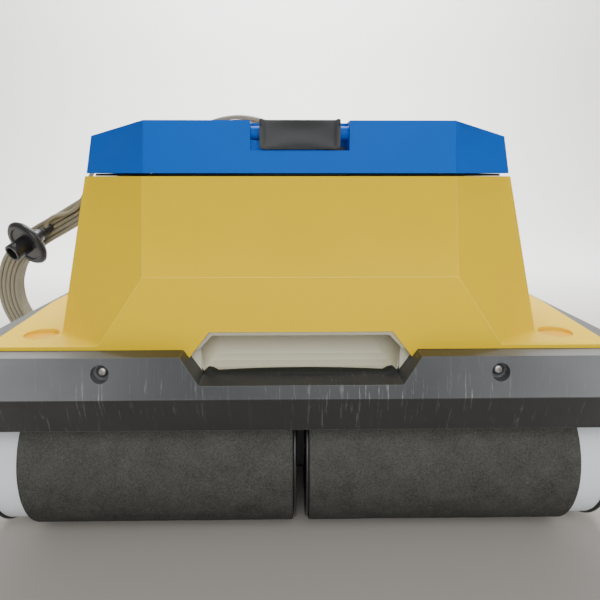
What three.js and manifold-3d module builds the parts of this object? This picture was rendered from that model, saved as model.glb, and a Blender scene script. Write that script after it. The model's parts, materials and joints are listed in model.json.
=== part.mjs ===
import * as THREE from "three";
import { mergeVertices } from "three/addons/utils/BufferGeometryUtils.js";
import Module from "manifold-3d";

const wasm = await Module();
wasm.setup();

// ---- driving dimensions (mm) ----
const GAP = 0.3; // clearance between touching pieces
const FOAM_R = 75.5; // foam roller radius
const FOAM_T = 5.5; // foam thickness
const TUBE_T = 4; // roller tube wall
const ROLL_IN = 7.9; // inner end of each roller half
const FOAM_END = 272; // outer end of the foam
const TUBE_END = 301; // outer end of the roller tube
const WHEEL_Y = 188; // axle distance from the middle
const AXLE_R = 10; // axle radius
const HALF_L = 280; // bumper ridge, half length
const BUMP_X = 322; // bumper half width
const BUMP_TOP = 205.4;
const BUMP_LOW = 133.8;
const BUMP_REAR = 238.6;
const NOTCH_TOP = 109; // grip notch half width at the top
const NOTCH_BOT = 92; // and at its floor
const NOTCH_Z = 180.5; // grip notch floor
const SKIRT_Y = 251; // hull front plane
const DECK_X = 292; // deck half width
const DECK_Z = 209.3; // deck front edge height
const DECK_RISE = 7.9; // rise of the deck toward the middle
const DECK_FLAT_Y = 100;
const HULL_T = 4; // hull wall
const HULL_TOP = 363;
const FOLD_Z = 274; // fold between skirt and upper face
const SKIRT_X = 188; // skirt half width at deck height
const FACET_X = 0.7817; // corner facet slope against x
const FACET_Z = 0.5412; // corner facet slope against z
const FRONT_SLOPE = 0.618; // lean of the upper face
const SIDE_X = 235.8; // hull side at deck height
const SIDE_SLOPE = 0.0507;
const MOUTH_INSET = 22; // hull top opening, in from the outline
const WINDOW_TOP = 222.6;
const WINDOW_X = 85; // window half width at the top
const WINDOW_LOW_X = 98.5; // and where it meets the bumper
const COVER_Z = 366; // cover lower edge
const COVER_TOP = 415;
const COVER_SIDE_TOP = 404;
const COVER_T = 3.5;
const COVER_FRONT = [151, 196]; // lower front corner x, y
const COVER_SIDE = [225.8, 137];
const COVER_FRONT_TOP = [148.6, 194];
const COVER_SIDE_TOP_XY = [216.3, 141.5];
const POCKET_X = 47.5; // latch pocket half width
const POCKET_Z = 387.2; // latch pocket floor
const POCKET_BACK = 163;
const LATCH_X = 38.5;
const LATCH_TOP = 417.5;
const PIN_R = 3;
const SCREW_X = 180;
const SCREW_Z = 191;
const SCREW_R = 3;
const SCREW_HEAD_R = 5.25;
const BORE_R = 8.3;
const TRAY_X = 285; // chassis tray half width
const TRAY_T = 4;
const TRAY_Y = 108;
const TRAY_Z = 34;
const SHELF_Z = 158;
const RAIL_TOP = 204;
const BELT_X = [306, 315]; // belt strip
const BELT_T = 2.5;
const PULLEY_R = 30; // on the rollers
const DRIVE_R = 22; // on the motor
const DRIVE_Z = 120;
const SHAFT_R = 6;
const DUCT_R = 64;
const DUCT_T = 4;
const DUCT_TOP = 362;
const VENT_R = 60;
const CABLE_R = 3.75;
const COIL_C = [-262, 298, 235.5]; // coil middle
const COIL_S = 188; // half length of its straight sides
const COIL_R = 121; // radius of its round ends
const COIL_TILT = 29.5; // degrees
const COIL_W = 20; // bundle half height in the ring plane
const COIL_D = 16; // bundle half depth
const COIL_LEAN = 6; // degrees

// ---- helpers ----
const V3 = (x, y, z) => new THREE.Vector3(x, y, z);
const rad = (d) => (d * Math.PI) / 180;

function solid(geometry) {
  let g = geometry.index ? geometry.toNonIndexed() : geometry.clone();
  for (const key of Object.keys(g.attributes)) if (key !== "position") g.deleteAttribute(key);
  g = mergeVertices(g, 1e-3);
  const triVerts = new Uint32Array(g.index.array);
  const vertProperties = new Float32Array(g.attributes.position.array);
  return new wasm.Manifold(new wasm.Mesh({ numProp: 3, vertProperties, triVerts }));
}

function toGeometry(body) {
  const mesh = body.getMesh();
  const g = new THREE.BufferGeometry();
  const points = new Float32Array(mesh.vertProperties);
  g.setAttribute("position", new THREE.BufferAttribute(points, 3));
  g.setIndex(new THREE.BufferAttribute(new Uint32Array(mesh.triVerts), 1));
  const flat = g.toNonIndexed();
  flat.computeVertexNormals();
  return flat;
}

// A closed body through rings of points, all with the same count, turning left seen from the end.
function loft(rings) {
  const n = rings[0].length;
  const out = [];
  const tri = (a, b, c) => out.push(...a, ...b, ...c);
  for (let i = 0; i + 1 < rings.length; i++) {
    for (let j = 0; j < n; j++) {
      const k = (j + 1) % n;
      tri(rings[i][j], rings[i][k], rings[i + 1][k]);
      tri(rings[i][j], rings[i + 1][k], rings[i + 1][j]);
    }
  }
  const last = rings[rings.length - 1];
  for (let j = 1; j + 1 < n; j++) {
    tri(rings[0][0], rings[0][j + 1], rings[0][j]);
    tri(last[0], last[j], last[j + 1]);
  }
  const g = new THREE.BufferGeometry();
  g.setAttribute("position", new THREE.Float32BufferAttribute(out, 3));
  return g;
}

const box = (x0, x1, y0, y1, z0, z1) =>
  new THREE.BoxGeometry(x1 - x0, y1 - y0, z1 - z0).translate(
    (x0 + x1) / 2,
    (y0 + y1) / 2,
    (z0 + z1) / 2
  );

function outline(points, holes = []) {
  const shape = new THREE.Shape(points.map(([a, b]) => new THREE.Vector2(a, b)));
  for (const hole of holes) {
    shape.holes.push(new THREE.Path(hole.map(([a, b]) => new THREE.Vector2(a, b))));
  }
  return shape;
}

function prism(points, depth, holes = []) {
  const options = { depth, bevelEnabled: false, curveSegments: 24 };
  return new THREE.ExtrudeGeometry(outline(points, holes), options);
}

// Outline in (y, z) swept along x from x0 to x1.
function alongX(points, x0, x1, holes = []) {
  return prism(points, x1 - x0, holes).applyMatrix4(
    new THREE.Matrix4().makeBasis(V3(0, 1, 0), V3(0, 0, 1), V3(1, 0, 0)).setPosition(x0, 0, 0)
  );
}

// Outline in (x, z) swept along y from y0 to y1.
function alongY(points, y0, y1) {
  return prism(points, y1 - y0).applyMatrix4(
    new THREE.Matrix4().makeBasis(V3(1, 0, 0), V3(0, 0, 1), V3(0, -1, 0)).setPosition(0, y1, 0)
  );
}

// Closed (radius, height) profile turned about z.
function turned(profile, segments = 32) {
  const points = profile.map(([r, h]) => new THREE.Vector2(r, h));
  if (profile[0][0] > 0) points.push(points[0].clone());
  return new THREE.LatheGeometry(points, segments).rotateX(Math.PI / 2);
}

const rod = (r, h0, h1, segments = 32) =>
  new THREE.CylinderGeometry(r, r, h1 - h0, segments).rotateX(Math.PI / 2).translate(0, 0, (h0 + h1) / 2);

// Turns a body made about z so that its axis runs along x, then moves it.
const onX = (g, y = 0, z = 0) => g.rotateY(Math.PI / 2).translate(0, y, z);
const onY = (g, x = 0, z = 0) => g.rotateX(Math.PI / 2).translate(x, 0, z);

const circle = (cy, cz, r, n = 32) =>
  Array.from({ length: n }, (_, i) => [
    cy + r * Math.cos((2 * Math.PI * i) / n),
    cz + r * Math.sin((2 * Math.PI * i) / n),
  ]);

// Convex outline round a set of points.
function wrap(points) {
  const p = [...points].sort((a, b) => a[0] - b[0] || a[1] - b[1]);
  const cross = (o, a, b) => (a[0] - o[0]) * (b[1] - o[1]) - (a[1] - o[1]) * (b[0] - o[0]);
  const half = (list) => {
    const out = [];
    for (const q of list) {
      while (out.length > 1 && cross(out[out.length - 2], out[out.length - 1], q) <= 1e-6) out.pop();
      out.push(q);
    }
    out.pop();
    return out;
  };
  return [...half(p), ...half(p.reverse())];
}

const mirrorOutline = (points) => [...points, ...points.map(([x, y]) => [-x, y]).reverse()];

// ---- materials ----
const paint = (color, roughness, metalness = 0) =>
  new THREE.MeshStandardMaterial({ color, roughness, metalness });
const yellow = paint(0xf6cf00, 0.28);
const blue = paint(0x0a5fc0, 0.25);
const dark = paint(0x50545a, 0.5);
const slate = paint(0x55595c, 0.6);
const black = paint(0x151517, 0.45);
const steel = paint(0xb9bcc0, 0.3, 0.9);
const cream = paint(0xe9e4c8, 0.45);
const white = paint(0xdfe5ee, 0.35);
const foam = paint(0x4a4743, 0.95);
const rubber = paint(0x1c1c1e, 0.8);
const beige = paint(0xb2ab97, 0.6);
const grey = paint(0x8d9296, 0.5);

const group = new THREE.Group();
function add(name, geometry, material) {
  const mesh = new THREE.Mesh(geometry.isBufferGeometry ? geometry : toGeometry(geometry), material);
  mesh.name = name;
  group.add(mesh);
  return mesh;
}

// ---- hull ----
function hullRing(z, inset) {
  const tilt = Math.sqrt(1 + FRONT_SLOPE * FRONT_SLOPE);
  const upright = SKIRT_Y - inset;
  const leaning = SKIRT_Y - inset * tilt - FRONT_SLOPE * (z - FOLD_Z);
  const y = Math.min(upright, leaning);
  const x = SIDE_X - inset - SIDE_SLOPE * (z - DECK_Z);
  const facet = (fx) => SKIRT_Y - 1.3803 * inset - FACET_X * (fx - SKIRT_X) - FACET_Z * (z - DECK_Z);
  const ax = SKIRT_X + (SKIRT_Y - 1.3803 * inset - FACET_Z * (z - DECK_Z) - y) / FACET_X;
  const by = facet(x);
  return [
    [ax, -y, z],
    [x, -by, z],
    [x, by, z],
    [ax, y, z],
    [-ax, y, z],
    [-x, by, z],
    [-x, -by, z],
    [-ax, -y, z],
  ];
}
const foldAt = (inset) => FOLD_Z - (inset * (Math.sqrt(1 + FRONT_SLOPE ** 2) - 1)) / FRONT_SLOPE;
const hullBody = (inset, z0, z1) => {
  const fold = foldAt(inset);
  const levels = z0 < fold && z1 > fold ? [z0, fold, z1] : [z0, z1];
  return solid(loft(levels.map((z) => hullRing(z, inset))));
};

const skirtLow = BUMP_TOP + GAP;
const deckTop = DECK_Z + DECK_RISE;
const deckUnder = deckTop - HULL_T - 0.4;
const deckOutline = [
  [-SKIRT_Y, skirtLow],
  [-DECK_FLAT_Y, deckUnder],
  [DECK_FLAT_Y, deckUnder],
  [SKIRT_Y, skirtLow],
  [SKIRT_Y, DECK_Z],
  [DECK_FLAT_Y, deckTop],
  [-DECK_FLAT_Y, deckTop],
  [-SKIRT_Y, DECK_Z],
];
const windowOutline = (grow) =>
  mirrorOutline([
    [WINDOW_LOW_X + 4.5 + grow, 197],
    [WINDOW_LOW_X + grow, BUMP_TOP],
    [WINDOW_X + grow, WINDOW_TOP + grow],
  ]);

let hull = solid(alongX(deckOutline, -DECK_X, DECK_X)).add(hullBody(0, skirtLow, HULL_TOP));
for (const s of [-1, 1]) {
  const x0 = s < 0 ? -DECK_X : DECK_X - HULL_T;
  hull = hull.add(solid(box(x0, x0 + HULL_T, -236, 236, 150, deckUnder - 6)));
  hull = hull.add(solid(box(x0, x0 + HULL_T, -DECK_FLAT_Y, DECK_FLAT_Y, 150, deckUnder + 1)));
  const rise = [
    [-236, deckUnder - 7],
    [236, deckUnder - 7],
    [236, skirtLow + 1.6],
    [DECK_FLAT_Y, deckUnder + 1],
    [-DECK_FLAT_Y, deckUnder + 1],
    [-236, skirtLow + 1.6],
  ];
  hull = hull.add(solid(alongX(rise, x0, x0 + HULL_T)));
}
hull = hull.subtract(hullBody(HULL_T, skirtLow - 20, HULL_TOP - HULL_T));
hull = hull.subtract(hullBody(MOUTH_INSET, HULL_TOP - 20, HULL_TOP + 5));
for (const s of [-1, 1]) {
  const wall = alongY(windowOutline(0), -8, 8).translate(0, s * SKIRT_Y, 0);
  hull = hull.subtract(solid(wall));
  for (const t of [-1, 1]) {
    const dimple = rod(16.5, 0, 12, 32).translate(255.5 * t, 214 * s, DECK_Z - 0.9);
    hull = hull.subtract(solid(dimple));
  }
}
// cable exit through the rear upper face
const leanBack = Math.atan2(FRONT_SLOPE, 1);
const GLAND = { x: -60, z: 322 };
GLAND.y = SKIRT_Y - FRONT_SLOPE * (GLAND.z - FOLD_Z);
const onRearFace = (g) =>
  g.rotateX(-(Math.PI / 2 - leanBack)).translate(GLAND.x, GLAND.y, GLAND.z);
hull = hull.subtract(solid(onRearFace(rod(9 + GAP, -15, 15, 20))));
add("hull_shell", hull, yellow);

// ---- collar between hull and cover ----
let collar = hullBody(9, HULL_TOP + GAP, COVER_Z - GAP).subtract(
  hullBody(MOUTH_INSET, HULL_TOP - 5, COVER_Z + 5)
);
for (const s of [-1, 1]) {
  const y0 = s < 0 ? -200 : 180.5;
  collar = collar.subtract(solid(box(-POCKET_X, POCKET_X, y0, y0 + 19.5, 360, 368)));
}
add("top_collar", collar, paint(0x2f2e22, 0.6));

// ---- cover ----
function coverRing(front, side, zFront, zSide, inset) {
  const [ax, ay] = front;
  const [bx, by] = side;
  const i = inset;
  return [
    [ax - i * 0.4, -(ay - i), zFront],
    [bx - i, -(by - i * 0.6), zSide],
    [bx - i, by - i * 0.6, zSide],
    [ax - i * 0.4, ay - i, zFront],
    [-(ax - i * 0.4), ay - i, zFront],
    [-(bx - i), by - i * 0.6, zSide],
    [-(bx - i), -(by - i * 0.6), zSide],
    [-(ax - i * 0.4), -(ay - i), zFront],
  ];
}
function coverBody(inset, lowZ, dropTop) {
  const low = coverRing(COVER_FRONT, COVER_SIDE, lowZ, lowZ, inset);
  const high = coverRing(
    COVER_FRONT_TOP,
    COVER_SIDE_TOP_XY,
    COVER_TOP - dropTop,
    COVER_SIDE_TOP - dropTop,
    inset
  );
  // the top is a flat middle with a side fall each way, so its end is built from three faces
  const out = [];
  const tri = (a, b, c) => out.push(...a, ...b, ...c);
  for (let j = 0; j < 8; j++) {
    const k = (j + 1) % 8;
    tri(low[j], low[k], high[k]);
    tri(low[j], high[k], high[j]);
  }
  for (let j = 1; j < 7; j++) tri(low[0], low[j + 1], low[j]);
  tri(high[0], high[1], high[2]);
  tri(high[0], high[2], high[3]);
  tri(high[0], high[3], high[4]);
  tri(high[0], high[4], high[7]);
  tri(high[4], high[5], high[6]);
  tri(high[4], high[6], high[7]);
  const g = new THREE.BufferGeometry();
  g.setAttribute("position", new THREE.Float32BufferAttribute(out, 3));
  return solid(g);
}
const coverOuter = coverBody(0, COVER_Z, 0);
let cover = coverOuter.subtract(coverBody(COVER_T, COVER_Z - 4, COVER_T));
const PIN_Y = 182;
const PIN_Z = 404;
for (const s of [-1, 1]) {
  const span = (a, b) => (s < 0 ? [-b, -a] : [a, b]);
  const [y0, y1] = span(POCKET_BACK - COVER_T, 210);
  const wallBox = box(
    -POCKET_X - COVER_T,
    POCKET_X + COVER_T,
    y0,
    y1,
    POCKET_Z - COVER_T,
    COVER_TOP + 5
  );
  cover = cover.add(coverOuter.intersect(solid(wallBox)));
  const [p0, p1] = span(POCKET_BACK, 210);
  cover = cover.subtract(solid(box(-POCKET_X, POCKET_X, p0, p1, POCKET_Z, COVER_TOP + 5)));
  const bore = onX(rod(PIN_R + GAP, -POCKET_X - 3, POCKET_X + 3), s * PIN_Y, PIN_Z);
  cover = cover.subtract(solid(bore));
}
cover = cover.subtract(solid(rod(VENT_R, 300, COVER_TOP + 5, 40)));
add("top_cover", cover, blue);

// ---- outlet grille in the cover ----
let grille = solid(
  turned(
    [
      [VENT_R - 8, COVER_TOP - 7],
      [VENT_R + 6, COVER_TOP - 7],
      [VENT_R + 6, COVER_TOP - COVER_T - GAP],
      [VENT_R - GAP, COVER_TOP - COVER_T - GAP],
      [VENT_R - GAP, COVER_TOP + 1.5],
      [VENT_R - 8, COVER_TOP + 1.5],
    ],
    40
  )
);
for (let i = 0; i < 4; i++) {
  const bar = box(-VENT_R + 6, VENT_R - 6, -1.6, 1.6, COVER_TOP - 6, COVER_TOP + 0.8);
  grille = grille.add(solid(bar.rotateZ((i * Math.PI) / 4)));
}
grille = grille.add(
  solid(
    turned([
      [26, COVER_TOP - 5.5],
      [30, COVER_TOP - 5.5],
      [30, COVER_TOP + 0.5],
      [26, COVER_TOP + 0.5],
    ])
  )
);
add("outlet_grille", grille, black);

// ---- latches ----
function latch(s) {
  const face = [
    [-LATCH_X + 3, POCKET_Z + 1],
    [LATCH_X - 3, POCKET_Z + 1],
    [LATCH_X, POCKET_Z + 4],
    [LATCH_X - 1, LATCH_TOP],
    [-LATCH_X + 1, LATCH_TOP],
    [-LATCH_X, POCKET_Z + 4],
  ];
  let body = solid(alongY(face, -199.5, -193.5));
  const dish = [
    [-LATCH_X + 6, POCKET_Z + 7],
    [LATCH_X - 6, POCKET_Z + 7],
    [LATCH_X - 7, LATCH_TOP - 1.5],
    [-LATCH_X + 7, LATCH_TOP - 1.5],
  ];
  body = body.subtract(solid(alongY(dish, -203, -198)));
  for (const t of [-1, 1]) {
    const x0 = t < 0 ? -LATCH_X + 2 : LATCH_X - 6;
    const ear = alongX(
      [
        [-194, PIN_Z - 9],
        [-PIN_Y, PIN_Z - 8],
        [-PIN_Y + 7, PIN_Z - 4],
        [-PIN_Y + 7, PIN_Z + 5],
        [-PIN_Y, PIN_Z + 8],
        [-194, PIN_Z + 11],
      ],
      x0,
      x0 + 4
    );
    body = body.add(solid(ear));
  }
  body = body.add(solid(box(-20, 20, -194, -190, POCKET_Z + 1, LATCH_TOP - 4)));
  body = body.subtract(solid(onX(rod(PIN_R + GAP, -60, 60), -PIN_Y, PIN_Z)));
  return s < 0 ? toGeometry(body) : toGeometry(body).rotateZ(Math.PI);
}
for (const [s, end] of [
  [-1, "front"],
  [1, "rear"],
]) {
  add("latch_" + end, latch(s), dark);
  add("latch_pin_" + end, onX(rod(PIN_R, -POCKET_X - 2.5, POCKET_X + 2.5, 20), s * PIN_Y, PIN_Z), steel);
}

// ---- bumpers ----
const bumperProfile = [
  [-272, BUMP_TOP],
  [-HALF_L, 168.7],
  [-270, BUMP_LOW],
  [-BUMP_REAR - 7, BUMP_LOW],
  [-BUMP_REAR, BUMP_LOW + 9],
  [-BUMP_REAR, BUMP_TOP],
];
const notch = mirrorOutline([
  [NOTCH_BOT, NOTCH_Z],
  [NOTCH_TOP, BUMP_TOP],
  [NOTCH_TOP + 7, BUMP_TOP + 10],
]);
const BORE_FLOOR = 266;
let bumper = solid(alongX(bumperProfile, -BUMP_X, BUMP_X)).subtract(
  solid(alongY(notch, -300, -200))
);
for (const t of [-1, 1]) {
  const hole = (r, y0, y1) => solid(onY(rod(r, -y1, -y0, 28), t * SCREW_X, SCREW_Z));
  bumper = bumper.subtract(hole(BORE_R, -300, -BORE_FLOOR));
  bumper = bumper.subtract(hole(SCREW_R + GAP, -300, -200));
}
const bumperShape = toGeometry(bumper);
add("bumper_front", bumperShape.clone(), slate);
add("bumper_rear", bumperShape.clone().rotateZ(Math.PI), slate);

// ---- bumper screws ----
function buttonScrew() {
  const headLow = BORE_FLOOR + GAP;
  let body = solid(
    turned(
      [
        [0, 229],
        [SCREW_R, 229],
        [SCREW_R, headLow],
        [SCREW_HEAD_R, headLow],
        [SCREW_HEAD_R - 0.3, headLow + 1.2],
        [SCREW_HEAD_R - 1.4, headLow + 2.6],
        [SCREW_HEAD_R - 3, headLow + 3.3],
        [0, headLow + 3.3],
      ],
      16
    )
  );
  const socket = new THREE.CylinderGeometry(2.3, 2.3, 4, 6)
    .rotateX(Math.PI / 2)
    .translate(0, 0, headLow + 3.3 + 0.2);
  body = body.subtract(solid(socket));
  // made along +z, turned to point at -y
  return toGeometry(body).rotateX(Math.PI / 2);
}
let screwNumber = 0;
for (const s of [-1, 1]) {
  for (const t of [-1, 1]) {
    screwNumber += 1;
    const turn = s < 0 ? 0 : Math.PI;
    add(
      "bumper_screw_" + screwNumber,
      buttonScrew()
        .rotateZ(turn)
        .translate(t * SCREW_X, 0, SCREW_Z),
      steel
    );
  }
}

// ---- chassis tray ----
const railY = BUMP_REAR - GAP;
const trayOutline = (x, t) => [
  [-railY + t, RAIL_TOP + (t ? 20 : 0)],
  [-railY + t, SHELF_Z + t],
  [-TRAY_Y + t, SHELF_Z + t],
  [-TRAY_Y + t, TRAY_Z + t],
  [TRAY_Y - t, TRAY_Z + t],
  [TRAY_Y - t, SHELF_Z + t],
  [railY - t, SHELF_Z + t],
  [railY - t, RAIL_TOP + (t ? 20 : 0)],
];
let tray = solid(alongX(trayOutline(TRAY_X, 0), -TRAY_X, TRAY_X)).subtract(
  solid(alongX(trayOutline(TRAY_X, TRAY_T), -TRAY_X + TRAY_T, TRAY_X - TRAY_T))
);
const LINER_LOW = NOTCH_Z - 3;
const MOUTH = { x: 95, y0: 75, y1: 99 };
for (const s of [-1, 1]) {
  const y0 = s < 0 ? -railY - 2 : railY - TRAY_T - 2;
  const cut = box(-WINDOW_LOW_X - 2, WINDOW_LOW_X + 2, y0, y0 + TRAY_T + 4, LINER_LOW - GAP, 230);
  tray = tray.subtract(solid(cut));
  const [m0, m1] = s < 0 ? [-MOUTH.y1, -MOUTH.y0] : [MOUTH.y0, MOUTH.y1];
  tray = tray.subtract(solid(box(-MOUTH.x, MOUTH.x, m0, m1, TRAY_Z - 5, TRAY_Z + 15)));
  for (const t of [-1, 1]) {
    const bossY = s < 0 ? -railY + 1 : railY - 9;
    const boss = solid(box(t * SCREW_X - 9, t * SCREW_X + 9, bossY, bossY + 8, SHELF_Z + 1, RAIL_TOP));
    tray = tray.add(boss);
    const hole = onY(rod(SCREW_R + GAP, -300, 300, 24), t * SCREW_X, SCREW_Z);
    tray = tray.subtract(solid(hole));
  }
}
// the hole pass above must not reach the side walls, so only the shaft holes cut those
for (const t of [-1, 1]) {
  const x0 = t < 0 ? -TRAY_X - 2 : TRAY_X - TRAY_T - 2;
  tray = tray.subtract(solid(onX(rod(14, x0, x0 + TRAY_T + 4), 0, DRIVE_Z)));
}
add("chassis_tray", tray, slate);

// ---- grip liners ----
const gripOutline = (inset) =>
  mirrorOutline([
    [NOTCH_BOT + 3 - inset, LINER_LOW + inset],
    [WINDOW_LOW_X - GAP - inset, BUMP_TOP],
    [WINDOW_X - GAP - inset * 0.8, WINDOW_TOP - GAP - inset],
  ]);
function liner(turn) {
  let body = solid(alongY(gripOutline(0), -SKIRT_Y + GAP, -204));
  const ring = (inset, y) => {
    const pts = gripOutline(inset).map(([x, z]) => [x, y, z]);
    return pts.reverse();
  };
  const hollow = loft([
    ring(3, -SKIRT_Y - 4),
    ring(3, -226),
    ring(6, -216),
    ring(11, -210),
    ring(17, -207),
  ].map((r) => r.reverse()));
  let cavity = solid(hollow);
  if (cavity.volume() < 0) {
    cavity = solid(
      loft(
        [ring(17, -207), ring(11, -210), ring(6, -216), ring(3, -226), ring(3, -SKIRT_Y - 4)].map((r) =>
          r.reverse()
        )
      )
    );
  }
  body = body.subtract(cavity);
  body = body.subtract(solid(box(-130, 130, -260, -railY - GAP + 0.3, 150, skirtLow + GAP)));
  return toGeometry(body).rotateZ(turn);
}
add("grip_liner_front", liner(0), cream);
add("grip_liner_rear", liner(Math.PI), cream);

// ---- side covers ----
const sideOutline = [
  [-railY, RAIL_TOP],
  [-railY, 136],
  [-222, 66],
  [-200, 46],
  [-170, 40],
  [170, 40],
  [200, 46],
  [222, 66],
  [railY, 136],
  [railY, RAIL_TOP],
];
function sideCover(t) {
  const plate = BELT_X[1] + 2.3;
  let body = solid(alongX(sideOutline.slice().reverse(), plate, BUMP_X));
  const lip = box(DECK_X + GAP, plate + 1, -railY, railY, RAIL_TOP - 4, RAIL_TOP);
  body = body.add(solid(lip));
  for (const s of [-1, 1]) {
    body = body.subtract(solid(onX(rod(AXLE_R + GAP, 300, 330), s * WHEEL_Y, FOAM_R)));
  }
  return toGeometry(body);
}

function mirrorX(g) {
  const flat = g.index ? g.toNonIndexed() : g.clone();
  const p = flat.attributes.position.array;
  for (let i = 0; i < p.length; i += 9) {
    for (let k = 0; k < 3; k++) {
      const keep = p[i + 3 + k];
      p[i + 3 + k] = p[i + 6 + k];
      p[i + 6 + k] = keep;
    }
  }
  for (let i = 0; i < p.length; i += 3) p[i] = -p[i];
  flat.computeVertexNormals();
  return flat;
}
const sidePlate = sideCover(1);
add("side_cover_right", sidePlate.clone(), dark);
add("side_cover_left", mirrorX(sidePlate), dark);

// ---- axles and centre brackets ----
const AXLE_END = BUMP_X - 1;
for (const [s, end] of [
  [-1, "front"],
  [1, "rear"],
]) {
  add("axle_" + end, onX(rod(AXLE_R, -AXLE_END, AXLE_END), s * WHEEL_Y, FOAM_R), steel);
  const hanger = [
    ...circle(s * WHEEL_Y, FOAM_R, 22, 32).filter((p) => p[1] < FOAM_R + 1),
    [s * WHEEL_Y + 30, SHELF_Z - GAP],
    [s * WHEEL_Y - 30, SHELF_Z - GAP],
  ];
  const bracket = solid(alongX(wrap(hanger), -4, 4)).subtract(
    solid(onX(rod(AXLE_R + GAP, -20, 20), s * WHEEL_Y, FOAM_R))
  );
  add("center_bracket_" + end, bracket, black);
}

// ---- rollers ----
const tubeR = FOAM_R - FOAM_T;
const plugR = tubeR - TUBE_T - GAP;
const boreR = AXLE_R + GAP;
function rollerPiece(profile, segments, y, t) {
  const g = onX(turned(profile, segments), y, FOAM_R);
  return t > 0 ? g : mirrorX(g);
}
const ring = (r0, r1, h0, h1) => [
  [r0, h0],
  [r1, h0],
  [r1, h1],
  [r0, h1],
];
for (const [s, end] of [
  [-1, "front"],
  [1, "rear"],
]) {
  for (const [t, side] of [
    [-1, "left"],
    [1, "right"],
  ]) {
    const y = s * WHEEL_Y;
    const name = "_" + end + "_" + side;
    add("roller_tube" + name, rollerPiece(ring(tubeR - TUBE_T, tubeR, ROLL_IN, TUBE_END), 40, y, t), white);
    add(
      "roller_foam" + name,
      rollerPiece(ring(tubeR + GAP, FOAM_R, ROLL_IN, FOAM_END), 48, y, t),
      foam
    );
    const inner = [
      [boreR, ROLL_IN - 3.3],
      [tubeR + 2.5, ROLL_IN - 3.3],
      [tubeR + 2.5, ROLL_IN - GAP],
      [plugR, ROLL_IN - GAP],
      [plugR, 26],
      [plugR - 4, 26],
      [plugR - 4, 12],
      [16, 12],
      [16, 30],
      [boreR, 30],
    ];
    add("inner_hub" + name, rollerPiece(inner, 28, y, t), black);
    const outer = [
      [boreR, 270],
      [16, 270],
      [16, 296],
      [plugR - 4, 296],
      [plugR - 4, 282],
      [plugR, 282],
      [plugR, TUBE_END + GAP],
      [tubeR + 2, TUBE_END + GAP],
      [tubeR + 2, TUBE_END + 3.3],
      [PULLEY_R, TUBE_END + 3.3],
      [PULLEY_R, BELT_X[1] + 0.5],
      [boreR, BELT_X[1] + 0.5],
    ];
    add("outer_hub" + name, rollerPiece(outer, 28, y, t), black);
  }
}

// ---- drive belts, pulleys and motors ----
const beltPath = (grow) =>
  wrap([
    ...circle(-WHEEL_Y, FOAM_R, PULLEY_R + grow, 28),
    ...circle(WHEEL_Y, FOAM_R, PULLEY_R + grow, 28),
    ...circle(0, DRIVE_Z, DRIVE_R + grow, 24),
  ]);
for (const [t, side] of [
  [-1, "left"],
  [1, "right"],
]) {
  const put = (g) => (t > 0 ? g : mirrorX(g));
  const belt = alongX(beltPath(GAP + BELT_T), BELT_X[0], BELT_X[1], [beltPath(GAP)]);
  add("belt_" + side, put(belt), rubber);
  const pulley = [
    [0, TRAY_X - 16],
    [SHAFT_R, TRAY_X - 16],
    [SHAFT_R, TRAY_X + 2],
    [11, TRAY_X + 2],
    [11, BELT_X[0] - 0.5],
    [DRIVE_R, BELT_X[0] - 0.5],
    [DRIVE_R, BELT_X[1] + 0.5],
    [0, BELT_X[1] + 0.5],
  ];
  add("drive_pulley_" + side, put(onX(turned(pulley, 24), 0, DRIVE_Z)), black);
  const casing = [
    [0, 190],
    [36, 190],
    [40, 194],
    [40, 262],
    [20, 270],
    [20, TRAY_X - TRAY_T - GAP],
    [SHAFT_R + GAP, TRAY_X - TRAY_T - GAP],
    [SHAFT_R + GAP, TRAY_X - 18],
    [0, TRAY_X - 18],
  ];
  let motor = solid(onX(turned(casing, 24), 0, DRIVE_Z));
  const foot = box(200, 255, -34, 34, TRAY_Z + TRAY_T + GAP, DRIVE_Z - 24);
  motor = motor.add(solid(foot));
  add("drive_motor_" + side, put(toGeometry(motor)), grey);
}

// ---- pump ----
const floorTop = TRAY_Z + TRAY_T;
let duct = solid(
  turned(
    [
      [DUCT_R - DUCT_T, floorTop + GAP],
      [DUCT_R, floorTop + GAP],
      [DUCT_R, DUCT_TOP],
      [DUCT_R - DUCT_T, DUCT_TOP],
    ],
    40
  )
);
for (let i = 0; i < 2; i++) {
  duct = duct.subtract(solid(box(-80, 80, -26, 26, 112, 168).rotateZ((i * Math.PI) / 2)));
}
add("pump_duct", duct, grey);
const motorShape = [
  [0, floorTop + GAP],
  [54, floorTop + GAP],
  [54, floorTop + 8],
  [40, floorTop + 12],
  [40, 158],
  [32, 166],
  [8, 168],
  [8, 172],
  [4, 172],
  [4, 204],
  [0, 204],
];
add("pump_motor", turned(motorShape, 24), black);
let impeller = solid(
  turned([
    [4 + GAP, 176],
    [15, 176],
    [12, 202],
    [4 + GAP, 202],
  ], 28)
);
const BLADES = 4;
for (let i = 0; i < BLADES; i++) {
  const blade = box(9, 55, -12, 12, -1.3, 1.3)
    .rotateX(rad(32))
    .translate(0, 0, 189)
    .rotateZ((2 * Math.PI * i) / BLADES);
  impeller = impeller.add(solid(blade));
}
impeller = impeller.subtract(solid(rod(4 + GAP, 100, 300, 28)));
add("impeller", impeller, cream);

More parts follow.
